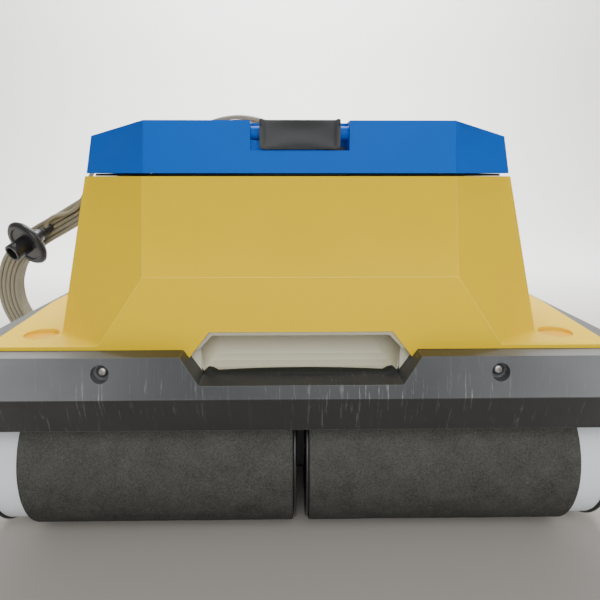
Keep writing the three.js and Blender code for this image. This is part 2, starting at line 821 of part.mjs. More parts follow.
// ---- filter cartridges ----
const FILTER = { x0: 70, x1: 203, y: 118, z0: SHELF_Z + TRAY_T + GAP, z1: 345 };
for (const [t, side] of [
  [-1, "left"],
  [1, "right"],
]) {
  let body = solid(box(FILTER.x0, FILTER.x1, -FILTER.y, FILTER.y, FILTER.z0, FILTER.z1));
  const inside = box(FILTER.x0 + 3, FILTER.x1 - 3, 3 - FILTER.y, FILTER.y - 3, FILTER.z0 + 3, 400);
  body = body.subtract(solid(inside));
  for (let i = 0; i < 3; i++) {
    const yc = (i - 1) * 74;
    const slot = box(FILTER.x0 - 5, FILTER.x1 + 5, yc - 30, yc + 30, FILTER.z0 + 12, FILTER.z1 - 16);
    body = body.subtract(solid(slot));
  }
  const grip = box(126, 147, -FILTER.y + 1, FILTER.y - 1, FILTER.z1 - 8, FILTER.z1);
  body = body.add(solid(grip));
  const shape = toGeometry(body);
  add("filter_cartridge_" + side, t > 0 ? shape : mirrorX(shape), white);
}

// ---- intake flaps ----
const FLAP_T = 2;
for (const [s, end] of [
  [-1, "front"],
  [1, "rear"],
]) {
  const z0 = floorTop + GAP;
  const mid = (MOUTH.y0 + MOUTH.y1) / 2;
  let flap = solid(box(-MOUTH.x - 4, MOUTH.x + 4, -mid - 15, -mid + 15, z0, z0 + FLAP_T));
  flap = flap.add(
    solid(onX(rod(2.4, -MOUTH.x - 10, MOUTH.x + 10, 20), -mid + 16, z0 + 2.4))
  );
  const shape = toGeometry(flap);
  add("intake_flap_" + end, s < 0 ? shape : shape.rotateZ(Math.PI), rubber);
}

// ---- cable gland, cable and plug ----
const gland = [
  [CABLE_R + GAP, -12],
  [9, -12],
  [9, GAP],
  [13, GAP],
  [13, 6],
  [9.5, 8],
  [7.5, 24],
  [CABLE_R + GAP, 24],
];
add("cable_gland", onRearFace(turned(gland, 20)), black);

const lean = rad(COIL_LEAN);
const tilt = rad(COIL_TILT);
// a point of the coil plane, u along the long axis, v across it, w through it
function coilPoint(u, v, w) {
  const x = u * Math.cos(tilt) - v * Math.sin(tilt);
  const h = u * Math.sin(tilt) + v * Math.cos(tilt);
  return [
    COIL_C[0] + x,
    COIL_C[1] - h * Math.sin(lean) + w * Math.cos(lean),
    COIL_C[2] + h * Math.cos(lean) + w * Math.sin(lean),
  ];
}
const COIL_ARC = 14; // steps round each end
const COIL_SIDES = 8;
const coilPath = []; // centre u, v and the outward direction
for (const end of [1, -1]) {
  for (let i = 0; i <= COIL_ARC; i++) {
    const a = rad(-90 + (180 * i) / COIL_ARC);
    const [c, d] = [end * Math.cos(a), end * Math.sin(a)];
    coilPath.push([end * COIL_S + COIL_R * c, COIL_R * d, c, d]);
  }
}
const coilPositions = [];
const coilIndex = [];
coilPath.forEach(([cu, cv, nu, nv], i) => {
  for (let j = 0; j < COIL_SIDES; j++) {
    const b = (2 * Math.PI * (j + 0.5)) / COIL_SIDES;
    const out = 1.06 * COIL_W * Math.cos(b);
    coilPositions.push(...coilPoint(cu + nu * out, cv + nv * out, 1.06 * COIL_D * Math.sin(b)));
    const next = ((i + 1) % coilPath.length) * COIL_SIDES;
    const j1 = (j + 1) % COIL_SIDES;
    const here = i * COIL_SIDES;
    coilIndex.push(here + j, next + j, next + j1, here + j, next + j1, here + j1);
  }
});
let coil = new THREE.BufferGeometry();
coil.setAttribute("position", new THREE.Float32BufferAttribute(coilPositions, 3));
coil.setIndex(coilIndex);
let coilBody = solid(coil);
if (coilBody.volume() < 0) {
  coil.setIndex(coilIndex.slice().reverse());
  coilBody = solid(coil);
}
add("cable_coil", coilBody, beige);

function cable(points, radius, steps) {
  const curve = new THREE.CatmullRomCurve3(points.map((p) => V3(...p)));
  const section = outline(circle(0, 0, radius, 8));
  const options = { steps, bevelEnabled: false, extrudePath: curve };
  return new THREE.ExtrudeGeometry(section, options);
}
const normal = V3(0, Math.cos(leanBack), Math.sin(leanBack));
const glandEnd = V3(GLAND.x, GLAND.y, GLAND.z).add(normal.clone().multiplyScalar(24 + GAP));
const onCoilFace = (degrees) => {
  const a = rad(degrees);
  const face = -COIL_D - CABLE_R - GAP;
  return coilPoint(COIL_S + COIL_R * Math.cos(a), COIL_R * Math.sin(a), face);
};
const lead = [
  glandEnd.toArray(),
  glandEnd.clone().add(normal.clone().multiplyScalar(12)).toArray(),
  [-40, 262, 357],
  [-8, 265, 362],
  onCoilFace(-22),
  onCoilFace(-45),
];
add("cable_lead", cable(lead, CABLE_R, 30), beige);

// plug beside the coil's high left part, on the end of a loose tail
const PLUG = { x: -473, y: 241, z: 248.5 };
const plugAxis = V3(-0.46, -0.77, -0.44).normalize();
const plugTurn = new THREE.Quaternion().setFromUnitVectors(V3(0, 0, 1), plugAxis);
const atPlug = (g) => g.applyQuaternion(plugTurn).translate(PLUG.x, PLUG.y, PLUG.z);
const BARREL_R = 15.5;
const PLUG_BACK = 30;
const plugBody = turned(
  [
    [0, -PLUG_BACK],
    [8, -PLUG_BACK],
    [12, -PLUG_BACK + 5],
    [14, -8],
    [BARREL_R, -4],
    [BARREL_R, 38],
    [11, 38],
    [11, 16],
    [0, 16],
  ],
  28
);
add("plug_body", atPlug(plugBody), black);
const collarShape = [
  [BARREL_R + GAP, -3],
  [38, -3],
  [42, 1],
  [42, 6],
  [38, 10],
  [BARREL_R + GAP, 10],
];
add("plug_collar", atPlug(turned(collarShape, 32)), black);
const backward = plugAxis.clone().multiplyScalar(-1);
const plugEntry = V3(PLUG.x, PLUG.y, PLUG.z).add(backward.clone().multiplyScalar(PLUG_BACK + GAP));
const onCoilSide = (u) => coilPoint(u, COIL_R + COIL_W - 12, -COIL_D - CABLE_R - 3 * GAP);
const tail = [
  plugEntry.toArray(),
  plugEntry.clone().add(backward.clone().multiplyScalar(6)).toArray(),
  [-446, 268.5, 285],
  onCoilSide(-70),
  onCoilSide(-30),
];
add("cable_tail", cable(tail, CABLE_R, 24), beige);

export default group;
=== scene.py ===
# %% [markdown]
# # A pool cleaning robot, dressed around its CAD frame
# The real machine is a moulded plastic box that drives on foam rollers and is fed by a long floating cable.
# The frame gives every part's place. Each cell below takes one part and makes it look as it does in the hand.
# Soft or rounded parts are built again from the frame's sizes. Hidden hard parts keep their shape and get a
# finish.

# %% Load the frame
import json
import math
import random

import bmesh
import bpy
from mathutils import Euler, Matrix, Vector, noise

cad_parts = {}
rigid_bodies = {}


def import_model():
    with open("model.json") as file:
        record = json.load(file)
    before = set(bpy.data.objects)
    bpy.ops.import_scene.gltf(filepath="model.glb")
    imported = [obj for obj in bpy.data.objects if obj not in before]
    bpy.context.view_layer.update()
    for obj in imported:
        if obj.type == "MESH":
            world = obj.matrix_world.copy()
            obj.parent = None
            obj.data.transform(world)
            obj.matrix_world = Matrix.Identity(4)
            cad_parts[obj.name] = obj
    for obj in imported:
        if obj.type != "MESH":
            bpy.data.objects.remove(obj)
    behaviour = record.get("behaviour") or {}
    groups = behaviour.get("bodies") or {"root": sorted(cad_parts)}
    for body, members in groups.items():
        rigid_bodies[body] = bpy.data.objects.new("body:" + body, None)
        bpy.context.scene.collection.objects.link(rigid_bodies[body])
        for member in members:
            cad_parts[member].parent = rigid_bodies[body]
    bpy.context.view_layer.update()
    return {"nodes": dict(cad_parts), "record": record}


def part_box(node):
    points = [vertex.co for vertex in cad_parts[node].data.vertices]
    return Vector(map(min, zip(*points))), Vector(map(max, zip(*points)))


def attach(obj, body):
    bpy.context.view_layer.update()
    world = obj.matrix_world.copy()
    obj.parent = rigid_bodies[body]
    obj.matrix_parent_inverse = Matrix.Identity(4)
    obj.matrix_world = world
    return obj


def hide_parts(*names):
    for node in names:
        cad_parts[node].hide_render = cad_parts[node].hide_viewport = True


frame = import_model()
BODY_OF = {node: body for body, nodes in frame["record"]["behaviour"]["bodies"].items() for node in nodes}
SLOT_OF = {p["node"]: p["material_slot"] for p in frame["record"]["subparts"]}
ENDS, SIDES = ("front", "rear"), ("left", "right")

# %% [markdown]
# ## The camera
# A view from a little below the lid, tipped down, and close enough for the nearer rollers to look wide.
# It comes first, because the cable's free length is judged against what the camera sees.

# %% Camera
camera = bpy.data.objects.new("camera", bpy.data.cameras.new("camera"))
bpy.context.scene.collection.objects.link(camera)
camera.location = (-0.0095, -0.7405, 0.3642)
camera.rotation_euler = (math.radians(90 - 12.8), 0, math.radians(-1))
camera.data.lens, camera.data.sensor_width = 33, 36
camera.data.dof.use_dof = False
bpy.context.scene.camera = camera
print("camera", tuple(camera.location))

# %% [markdown]
# ## Finishes written as sums
# A finish is a small recipe: a base colour, then dust, wear and grain that change it from place to place.
# A number that varies over a surface is easier to read as ordinary arithmetic, so one class wraps it.
# Colours are mixed, not added, because a sum of numbers has no hue.

# %% Helpers for finishes
class Num:
    """A number that varies over a surface, used in ordinary arithmetic."""

    def __init__(self, tree, socket):
        self.tree, self.socket = tree, socket

    def sum(self, operation, *values, clamp=False):
        made = self.tree.nodes.new("ShaderNodeMath")
        made.operation, made.use_clamp = operation, clamp
        for place, value in zip(made.inputs, values):
            if isinstance(value, Num):
                self.tree.links.new(value.socket, place)
            else:
                place.default_value = value
        return Num(self.tree, made.outputs[0])

    def __add__(self, other): return self.sum("ADD", self, other)
    def __radd__(self, other): return self.sum("ADD", other, self)
    def __sub__(self, other): return self.sum("SUBTRACT", self, other)
    def __rsub__(self, other): return self.sum("SUBTRACT", other, self)
    def __mul__(self, other): return self.sum("MULTIPLY", self, other)
    def __rmul__(self, other): return self.sum("MULTIPLY", other, self)
    def __truediv__(self, other): return self.sum("DIVIDE", self, other)
    def __pow__(self, other): return self.sum("POWER", self, other)

    def over(self, low, high):
        """0 below low, 1 above high."""
        return self.sum("MULTIPLY", self - low, 1 / (high - low), clamp=True)

    def below(self, other): return self.sum("MINIMUM", self, other)
    def wave(self, turns): return self.sum("SINE", self * (2 * math.pi * turns))


class Finish:
    """One material: a Principled surface whose inputs are fed by name."""

    def __init__(self, name, colour, roughness=0.5, metallic=0.0, coat=0.0, **constants):
        self.material = bpy.data.materials.new(name)
        self.material.use_nodes = True
        self.tree = self.material.node_tree
        self.shader = self.tree.nodes["Principled BSDF"]
        self.colour = (*colour, 1)
        self.place = self.node("TexCoord").outputs["Object"]
        self.give(Base_Color=self.colour, Roughness=roughness, Metallic=metallic, Coat_Weight=coat,
                  **constants)

    def put(self, socket, value):
        if isinstance(value, Num):
            value = value.socket
        if isinstance(value, bpy.types.NodeSocket):
            self.tree.links.new(value, socket)
        else:
            socket.default_value = value

    def node(self, kind, settings=None, **sockets):
        made = self.tree.nodes.new("ShaderNode" + kind)
        for key, value in (settings or {}).items():
            if key == "stops":
                while len(made.color_ramp.elements) < len(value):
                    made.color_ramp.elements.new(0.5)
                for stop, (at, shade) in zip(made.color_ramp.elements, value):
                    stop.position, stop.color = at, (*shade, 1)
            else:
                setattr(made, key, value)
        for key, value in sockets.items():
            self.put(made.inputs[key.replace("_", " ")], value)
        return made

    def give(self, **sockets):
        for key, value in sockets.items():
            self.put(self.shader.inputs[key.replace("_", " ")], value)
        return self

    def stretched(self, x, y, z, turn=(0, 0, 0)):
        return self.node("Mapping", Vector=self.place, Scale=(x, y, z), Rotation=turn).outputs["Vector"]

    def along(self, axis):
        return Num(self.tree, self.node("SeparateXYZ", Vector=self.place).outputs[axis])

    def grain(self, scale, detail=3.0, rough=0.55, at=None):
        made = self.node("TexNoise", Vector=at or self.place, Scale=scale, Detail=detail, Roughness=rough)
        return Num(self.tree, made.outputs["Fac"])

    def cells(self, scale, at=None):
        made = self.node("TexVoronoi", Vector=at or self.place, Scale=scale)
        return Num(self.tree, made.outputs["Distance"])

    def mixed(self, share, first, second):
        first, second = ((*c, 1) if isinstance(c, tuple) and len(c) == 3 else c for c in (first, second))
        made = self.node("Mix", {"data_type": "RGBA"})
        self.put(made.inputs[0], share)
        self.put(made.inputs[6], first)
        self.put(made.inputs[7], second)
        return made.outputs[2]

    def bumped(self, height, strength=0.2, distance=0.001):
        made = self.node("Bump", Height=height, Strength=strength, Distance=distance)
        return self.give(Normal=made.outputs["Normal"])


print("finish helpers ready")

# %% [markdown]
# ## Ways of making a shape
# Moulded parts start as the frame's own solid, with its loose triangles joined. They get the rounded edges
# that a mould leaves, and the larger faces then decide the shading, so that flats look flat.
# Turned and foam parts are spun from a half outline, which gives them even, clean rings.
# What repeats, such as screws, ribs and teeth, is placed by a small node tree and then turned into plain mesh.

# %% Helpers for shapes
def show(mesh, name, *finishes, smooth=40):
    """A finished piece from a mesh, in place, with its finishes."""
    piece = bpy.data.objects.new(name, mesh)
    bpy.context.scene.collection.objects.link(piece)
    for i, finish in enumerate(finishes):
        if i < len(mesh.materials):
            mesh.materials[i] = finish.material
        else:
            mesh.materials.append(finish.material)
    if smooth:
        mesh.shade_smooth()
        mesh.set_sharp_from_angle(angle=math.radians(smooth))
    return piece


def settle(piece, body, slot, *replaced):
    """The last step for every piece: its body and the solids that it stands for. The slot is not used."""
    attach(piece, body)
    if replaced:
        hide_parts(*replaced)
    return piece


def solid_of(*nodes):
    """The frame's solids as one clean mesh in the making."""
    made = bmesh.new()
    for node in nodes:
        made.from_mesh(frame["nodes"][node].data)
    bmesh.ops.remove_doubles(made, verts=made.verts, dist=2e-6)
    bmesh.ops.dissolve_limit(made, angle_limit=math.radians(0.8), verts=made.verts, edges=made.edges)
    bmesh.ops.recalc_face_normals(made, faces=made.faces)
    return made


def mesh_of(made, name):
    mesh = bpy.data.meshes.new(name)
    made.to_mesh(mesh)
    made.free()
    return mesh


def calm_normals(mesh, limit=50, limit_of_flats=14, flat_area=0.0006):
    """Lets the larger faces decide the shading at each corner, so that flats look flat beside small rounds."""
    close, closer = math.cos(math.radians(limit)), math.cos(math.radians(limit_of_flats))
    around = [[] for _ in mesh.vertices]
    for face in mesh.polygons:
        for v in face.vertices:
            around[v].append(face.index)
    facing = [face.normal.copy() for face in mesh.polygons]
    size = [face.area for face in mesh.polygons]
    corners = []
    for face in mesh.polygons:
        own = facing[face.index]
        for v in face.vertices:
            total = Vector()
            for other in around[v]:
                both_flat = min(size[face.index], size[other]) > flat_area
                if own.dot(facing[other]) > (closer if both_flat else close):
                    total += facing[other] * size[other]
            corners.append(total.normalized() if total.length > 1e-12 else own)
    mesh.shade_smooth()
    mesh.normals_split_custom_set(corners)


def bevelled(made, name, width, segments=3, angle=28, edge_finish=0):
    """Rounds every edge sharper than angle, and gives the rounds their own finish if asked."""
    piece = bpy.data.objects.new(name, mesh_of(made, name))
    piece.data.shade_smooth()
    bpy.context.scene.collection.objects.link(piece)
    round_edges = piece.modifiers.new("round", "BEVEL")
    round_edges.width, round_edges.segments = width, segments
    round_edges.limit_method, round_edges.angle_limit = "ANGLE", math.radians(angle)
    round_edges.use_clamp_overlap = True
    round_edges.miter_outer = "MITER_ARC"
    if edge_finish:
        piece.data.materials.append(None)
        piece.data.materials.append(None)
        round_edges.material = edge_finish
    bpy.context.view_layer.update()
    mesh = bpy.data.meshes.new_from_object(piece.evaluated_get(bpy.context.evaluated_depsgraph_get()))
    bpy.data.objects.remove(piece)
    calm_normals(mesh)
    return mesh


def moulded(node, finish, edge=None, width=0.0012, segments=3, angle=28, name=None, made=None):
    """A frame solid shown with rounded edges."""
    mesh = bevelled(made or solid_of(node), name or node + "_moulded", width, segments, angle,
                    1 if edge else 0)
    piece = show(mesh, name or node + "_moulded", finish, *([edge] if edge else []), smooth=0)
    return settle(piece, BODY_OF[node], SLOT_OF[node], node)


def spun(outline, centre, axis="X", steps=96, wobble=None):
    """A closed ring mesh from a closed outline of (along, radius) pairs."""
    made, rings = bmesh.new(), []
    centre = Vector(centre)
    for i in range(steps):
        a, ring = 2 * math.pi * i / steps, []
        for along, radius in outline:
            r = radius + (wobble(along, a, radius) if wobble else 0)
            c, s = r * math.cos(a), r * math.sin(a)
            spot = {"X": (along, c, s), "Y": (s, along, c), "Z": (c, s, along)}[axis]
            ring.append(made.verts.new(centre + Vector(spot)))
        rings.append(ring)
    for i in range(steps):
        here, there = rings[i], rings[(i + 1) % steps]
        for j in range(len(outline)):
            k = (j + 1) % len(outline)
            made.faces.new((here[j], here[k], there[k], there[j]))
    bmesh.ops.remove_doubles(made, verts=made.verts, dist=1e-6)
    bmesh.ops.recalc_face_normals(made, faces=made.faces)
    return made


def block(low, high, rounding=0.0, segments=2):
    """A box between two corners, with its edges rounded."""
    low, high = Vector(low), Vector(high)
    made = bmesh.new()
    bmesh.ops.create_cube(made, size=1)
    bmesh.ops.scale(made, verts=made.verts, vec=high - low)
    bmesh.ops.translate(made, verts=made.verts, vec=(low + high) / 2)
    if rounding:
        bmesh.ops.bevel(made, geom=made.edges, offset=rounding, segments=segments, affect="EDGES",
                        profile=0.5)
    return made


class Grow:
    """A node tree with named sizes that places what repeats, run once and kept as plain mesh."""

    def __init__(self, name, **sizes):
        self.name, self.sizes = name, sizes
        self.tree = bpy.data.node_groups.new(name, "GeometryNodeTree")
        face = self.tree.interface
        face.new_socket("Geometry", in_out="OUTPUT", socket_type="NodeSocketGeometry")
        face.new_socket("Base", in_out="INPUT", socket_type="NodeSocketGeometry")
        kinds = {int: "Int", float: "Float", tuple: "Vector", bpy.types.Object: "Object",
                 bpy.types.Material: "Material"}
        self.ids = {}
        for key, value in sizes.items():
            kind = "NodeSocket" + kinds[type(value)]
            self.ids[key] = face.new_socket(key, in_out="INPUT", socket_type=kind).identifier
        self.given = self.tree.nodes.new("NodeGroupInput")
        self.result = self.tree.nodes.new("NodeGroupOutput")

    def size(self, name):
        return self.given.outputs[name]

    def node(self, kind, settings=None, **sockets):
        made = self.tree.nodes.new(kind)
        for key, value in (settings or {}).items():
            setattr(made, key, value)
        for key, value in sockets.items():
            place = made.inputs[key.replace("_", " ")]
            for one in value if isinstance(value, list) else [value]:
                if isinstance(one, bpy.types.NodeSocket):
                    self.tree.links.new(one, place)
                else:
                    place.default_value = one
        return made

    def mesh(self, geometry, finish, base=None):
        plain = self.node("GeometryNodeRealizeInstances", Geometry=geometry)
        dressed = self.node("GeometryNodeSetMaterial", Geometry=plain.outputs[0], Material=finish.material)
        self.tree.links.new(dressed.outputs[0], self.result.inputs["Geometry"])
        carrier = bpy.data.objects.new(self.name, base or bpy.data.meshes.new(self.name))
        bpy.context.scene.collection.objects.link(carrier)
        run = carrier.modifiers.new("grow", "NODES")
        run.node_group = self.tree
        for key, value in self.sizes.items():
            run[self.ids[key]] = value
        bpy.context.view_layer.update()
        mesh = bpy.data.meshes.new_from_object(carrier.evaluated_get(bpy.context.evaluated_depsgraph_get()))
        bpy.data.objects.remove(carrier)
        made = bmesh.new()
        made.from_mesh(mesh)
        bmesh.ops.remove_doubles(made, verts=made.verts, dist=1e-7)
        bmesh.ops.recalc_face_normals(made, faces=made.faces)
        bpy.data.meshes.remove(mesh)
        return mesh_of(made, self.name)


print("shape helpers ready")

# %% [markdown]
# ## Colours of the real plastics
# The hull is a bright yellow moulding that has been wiped often, so it carries faint cloudy dust and hair
# scratches. The lid is a deep blue, the bumpers are slate grey and scratched by pool steps, and the foam is
# dark and porous. Rounded edges catch more light than the flats, so several plastics get a second, paler
# finish for their rounds, which is a painted highlight on those rounds.

# %% Finishes
def plastic(name, colour, roughness, dust=(0.6, 0.6, 0.55), dusty=0.12, scratches=0.0, coat=0.0, fine=0.04,
            **more):
    """Moulded plastic with cloudy dust, hair scratches and a slight grain."""
    made = Finish(name, colour, roughness, coat=coat, **more)
    cloud = made.grain(6, 5, 0.6).over(0.42, 0.8)
    marks = cloud * dusty
    if scratches:
        long = made.grain(55, 4, 0.7, made.stretched(6.0, 1.0, 0.35)).over(0.6, 0.72)
        patch = made.grain(9, 2).over(0.4, 0.65)
        marks = marks + long * patch * scratches
    made.give(Base_Color=made.mixed(marks.below(1.0), colour, dust),
              Roughness=(cloud * 0.12 + marks * 0.2 + roughness).below(1.0))
    return made.bumped(made.grain(900, 2) * fine + marks * 0.05, 0.12, 0.0006)


YELLOW = plastic("yellow hull plastic", (0.88, 0.585, 0.0), 0.42, (0.9, 0.63, 0.02), 0.10, 0.05,
                 Specular_IOR_Level=0.12)
# Painted highlight: a paler, glossier yellow for the hull's rounded edges.
YELLOW_EDGE_HIGHLIGHT = plastic("yellow hull plastic, rounds with painted highlight", (1.0, 0.80, 0.12), 0.30, (1.0, 0.9, 0.3), 0.10,
                      Specular_IOR_Level=0.5)
BLUE = plastic("blue lid plastic", (0.0, 0.105, 0.56), 0.42, (0.02, 0.19, 0.66), 0.10, 0.05,
               Specular_IOR_Level=0.08)
# Painted highlight: a paler blue for the lid's rounded edges.
BLUE_EDGE_HIGHLIGHT = plastic("blue lid plastic, rounds with painted highlight", (0.02, 0.20, 0.75), 0.3, (0.2, 0.4, 0.75), 0.2, 0.0)
LATCH = plastic("latch grey plastic", (0.024, 0.027, 0.030), 0.46, (0.3, 0.3, 0.3), 0.1, 0.05,
                Specular_IOR_Level=0.35)
SLATE = plastic("slate bumper plastic", (0.036, 0.040, 0.044), 0.42, (0.30, 0.30, 0.30), 0.14, 0.5,
                Specular_IOR_Level=0.4)
# Painted highlight: a paler slate for the rounded edges of the bumpers and side covers.
SLATE_EDGE_HIGHLIGHT = plastic("slate bumper plastic, rounds with painted highlight", (0.10, 0.105, 0.115), 0.38, (0.4, 0.4, 0.4), 0.3, 0.3)
CREAM = plastic("cream liner plastic", (0.95, 0.92, 0.72), 0.42, (0.5, 0.45, 0.3), 0.15)
LINER = plastic("cream liner plastic, painted shade under the window", (0.95, 0.92, 0.72), 0.42, (0.5, 0.45, 0.3),
                0.15)
OLIVE = plastic("dark collar plastic", (0.035, 0.033, 0.018), 0.5)
DARK = plastic("dark chassis plastic", (0.035, 0.038, 0.042), 0.5, (0.2, 0.2, 0.2), 0.12)
GREY = plastic("side cover plastic", (0.06, 0.065, 0.07), 0.42, (0.3, 0.3, 0.3), 0.15, 0.3)
BLACK = plastic("black plastic", (0.012, 0.012, 0.013), 0.3, (0.12, 0.12, 0.12), 0.15)
MOTOR = plastic("motor housing plastic", (0.2, 0.21, 0.22), 0.45)
WHITE = plastic("white tube plastic", (0.74, 0.79, 0.84), 0.3, (0.6, 0.6, 0.58), 0.12, 0.1)
RUBBER = plastic("black rubber", (0.02, 0.02, 0.02), 0.62, (0.1, 0.1, 0.1), 0.3, 0.0, fine=0.1)
EARTHY = plastic("cable sheath", (0.30, 0.27, 0.19), 0.45, (0.46, 0.42, 0.32), 0.35, 0.0, fine=0.06)

# Painted shade: the liner's colour darkens towards the top of the window, where the window's upper lip shades
# it.
painted_shade_top = LINER.along("Z").over(0.180, 0.204) * 0.8
clean = LINER.shader.inputs["Base Color"].links[0].from_socket
LINER.give(Base_Color=LINER.mixed(painted_shade_top, clean, (0.30, 0.27, 0.20)))

# The bumper's colour carries painted shade on its low face under the ridge, mixed with a little real stain,
# and a painted highlight towards its ends. It is darker inside the beam. It is scratched all over, but most of
# all just above the ridge.
above_ridge = SLATE.along("Z").over(0.1672, 0.1690)
low_face = 1 - above_ridge
near_ridge = above_ridge * (1 - SLATE.along("Z").over(0.172, 0.186))
inside = 1 - (SLATE.along("Y") * SLATE.along("Y")).over(0.2440 ** 2, 0.2520 ** 2)
# Painted highlight: the upper face is made paler towards both ends.
far_ends = (SLATE.along("X") * SLATE.along("X")).over(0.01, 0.07) * above_ridge
long_scratch = SLATE.grain(70, 4, 0.7, SLATE.stretched(5.0, 1.0, 0.25)).over(0.60, 0.68)
scratched = long_scratch * SLATE.grain(5, 3).over(0.42, 0.6) * (near_ridge * 0.8 + 0.25)
# Painted shade on the low face, mixed with a little random stain.
shade_and_stain = low_face * 0.80 + SLATE.grain(14, 4).over(0.45, 0.7) * 0.15
patina = SLATE.shader.inputs["Base Color"].links[0].from_socket
ends_painted_paler = SLATE.mixed(far_ends * 0.8, patina, (0.22, 0.23, 0.24))
shaded_and_stained = SLATE.mixed(shade_and_stain.below(1.0), ends_painted_paler, (0.014, 0.014, 0.013))
scuffed = SLATE.mixed(scratched.below(1.0), shaded_and_stained, (0.30, 0.31, 0.30))
SLATE.give(Base_Color=SLATE.mixed((inside * 0.8).below(1.0), scuffed, (0.02, 0.02, 0.014)))

STEEL = Finish("turned stainless steel", (0.40, 0.39, 0.38), 0.30, 1.0)
turned_lines = STEEL.grain(400, 2, 0.5, STEEL.stretched(1, 6, 6))
STEEL.give(Roughness=turned_lines * 0.25 + 0.26)
STEEL.bumped(turned_lines, 0.08, 0.0003)

FOAM = Finish("porous roller foam", (0.05, 0.045, 0.04), 0.95)
pores = FOAM.cells(620).over(0.15, 0.55)
clumps = FOAM.grain(38, 5, 0.7).over(0.3, 0.75)
fleck = FOAM.grain(420, 2, 0.6).over(0.58, 0.72)
shade = FOAM.along("Z").over(0.03, 0.15) * 0.42
FOAM.give(Base_Color=FOAM.mixed((pores * 0.26 + clumps * 0.24 + fleck * 0.20 + shade).below(1.0),
                                (0.006, 0.0060, 0.0052), (0.120, 0.121, 0.110)), Specular_IOR_Level=0.2)
FOAM.bumped(pores * 0.7 + clumps * 0.6, 0.55, 0.0012)

FILTER = Finish("filter cloth and frame", (0.66, 0.68, 0.7), 0.75)
weave = FILTER.along("Y").wave(900) * FILTER.along("Z").wave(900)
FILTER.give(Base_Color=FILTER.mixed(weave * 0.25 + 0.3, (0.72, 0.74, 0.76), (0.45, 0.46, 0.46)))
FILTER.bumped(weave, 0.2, 0.0004)

BY_SLOT = {
    "hull_yellow": YELLOW, "cover_blue": BLUE, "collar_dark": OLIVE, "latch_grey": LATCH,
    "bumper_slate": SLATE, "stainless": STEEL, "liner_cream": CREAM, "chassis_slate": DARK,
    "side_grey": GREY, "black_plastic": BLACK, "roller_white": WHITE, "roller_foam": FOAM,
    "hub_black": BLACK, "belt_rubber": RUBBER, "motor_grey": MOTOR, "filter_white": FILTER,
    "cable_beige": EARTHY,
}
for node, piece in frame["nodes"].items():
    finish = BY_SLOT[SLOT_OF[node]].material
    if piece.material_slots:
        for slot in piece.material_slots:
            slot.link, slot.material = "OBJECT", finish
    else:
        piece.data.materials.append(finish)
print(len(BY_SLOT), "finishes given to the frame's nodes")

# %% [markdown]
# ## The floating cable
# The cable is a pale rubber sheath about as thick as a pencil. It leaves a gland on the hull's rear slope,
# winds into a strapped hank of nineteen turns, and ends in a black plug beside the hank.
# One curve holds all of it, so its length can be measured. Each turn moves over by one cable width on the
# low side of the hank.

# %% Cable route
SHEATH = 0.0075
HANK_MID, STRAIGHT, BEND = Vector((-0.262, 0.298, 0.2355)), 0.188, 0.121
TILT, LEAN = math.radians(29.5), math.radians(6)
PITCH = 0.0078


def in_hank(u, v, w):
    """A point of the hank: u along it, v across it, w through it."""
    x = u * math.cos(TILT) - v * math.sin(TILT)
    h = u * math.sin(TILT) + v * math.cos(TILT)
    return HANK_MID + Vector((x, -h * math.sin(LEAN) + w * math.cos(LEAN),
                              h * math.cos(LEAN) + w * math.sin(LEAN)))


def on_bend(side, degrees, out, w):
    a = math.radians(degrees)
    return in_hank(side * STRAIGHT + (BEND + out) * math.cos(a), (BEND + out) * math.sin(a), w)


# Five columns of lanes, outermost first, each gone through up and down in turn, so that no lap has to jump.
places = [(4, row) for row in (2, 1, 0)]
for column in (3, 2, 1, 0):
    places += [(column, row) for row in (range(4) if column % 2 else reversed(range(4)))]
lanes = [((column - 2) * PITCH, (row - 1.5) * PITCH) for column, row in places]
face = -0.016 - SHEATH / 2 - 0.0003
normal = Vector((0, math.cos(math.atan2(0.618, 1)), math.sin(math.atan2(0.618, 1))))
gland_end = Vector((-0.060, 0.2213, 0.322)) + normal * 0.0243
lead_in = [gland_end, gland_end + normal * 0.008, Vector((-0.0530, 0.2600, 0.3485)),
           Vector((-0.020, 0.2670, 0.3600)), on_bend(1, -22, 0, face), on_bend(1, -45, 0.004, face)]
lead_in += [on_bend(1, -58, 0.014, face + 0.001), on_bend(1, -70, 0.0225, face + 0.006),
            on_bend(1, -80, 0.0245, -0.006), in_hank(STRAIGHT - 0.015, -BEND - 0.0240, 0.001)]
shake, laid = random.Random(7), []
nudge = lambda: shake.uniform(-0.00025, 0.00025)
for lap, (out, w) in enumerate(lanes):
    for u in (0.04, -0.05, -0.13):
        laid.append(in_hank(u, -BEND - out + nudge(), w + nudge()))
    laid += [on_bend(-1, -90 - a, out + nudge(), w + nudge()) for a in range(0, 181, 20)]
    for u in (-0.12, -0.03, 0.06, 0.13):
        if lap == len(lanes) - 1 and u > -0.13:
            break
        laid.append(in_hank(u, BEND + out + nudge(), w + nudge()))
    if lap < len(lanes) - 1:
        laid += [on_bend(1, 90 - a, out + nudge(), w + nudge()) for a in range(0, 181, 20)]
        after = lanes[lap + 1]
        for u, share in ((0.165, 0.0), (0.135, 0.22), (0.105, 0.6), (0.075, 0.93)):
            laid.append(in_hank(u, -BEND - out - (after[0] - out) * share, w + (after[1] - w) * share))
over = face - 0.0007
turn_back = [in_hank(-0.13, BEND - 0.0156, -0.0135), in_hank(-0.09, BEND - 0.0158, over),
             in_hank(-0.03, BEND - 0.016, over)]
swing = 0.036
middle_v = BEND - 0.016 + swing
for a in (math.radians(15 * step) for step in range(14)):
    turn_back.append(in_hank(0.02 + swing * math.sin(a), middle_v - swing * math.cos(a), over))
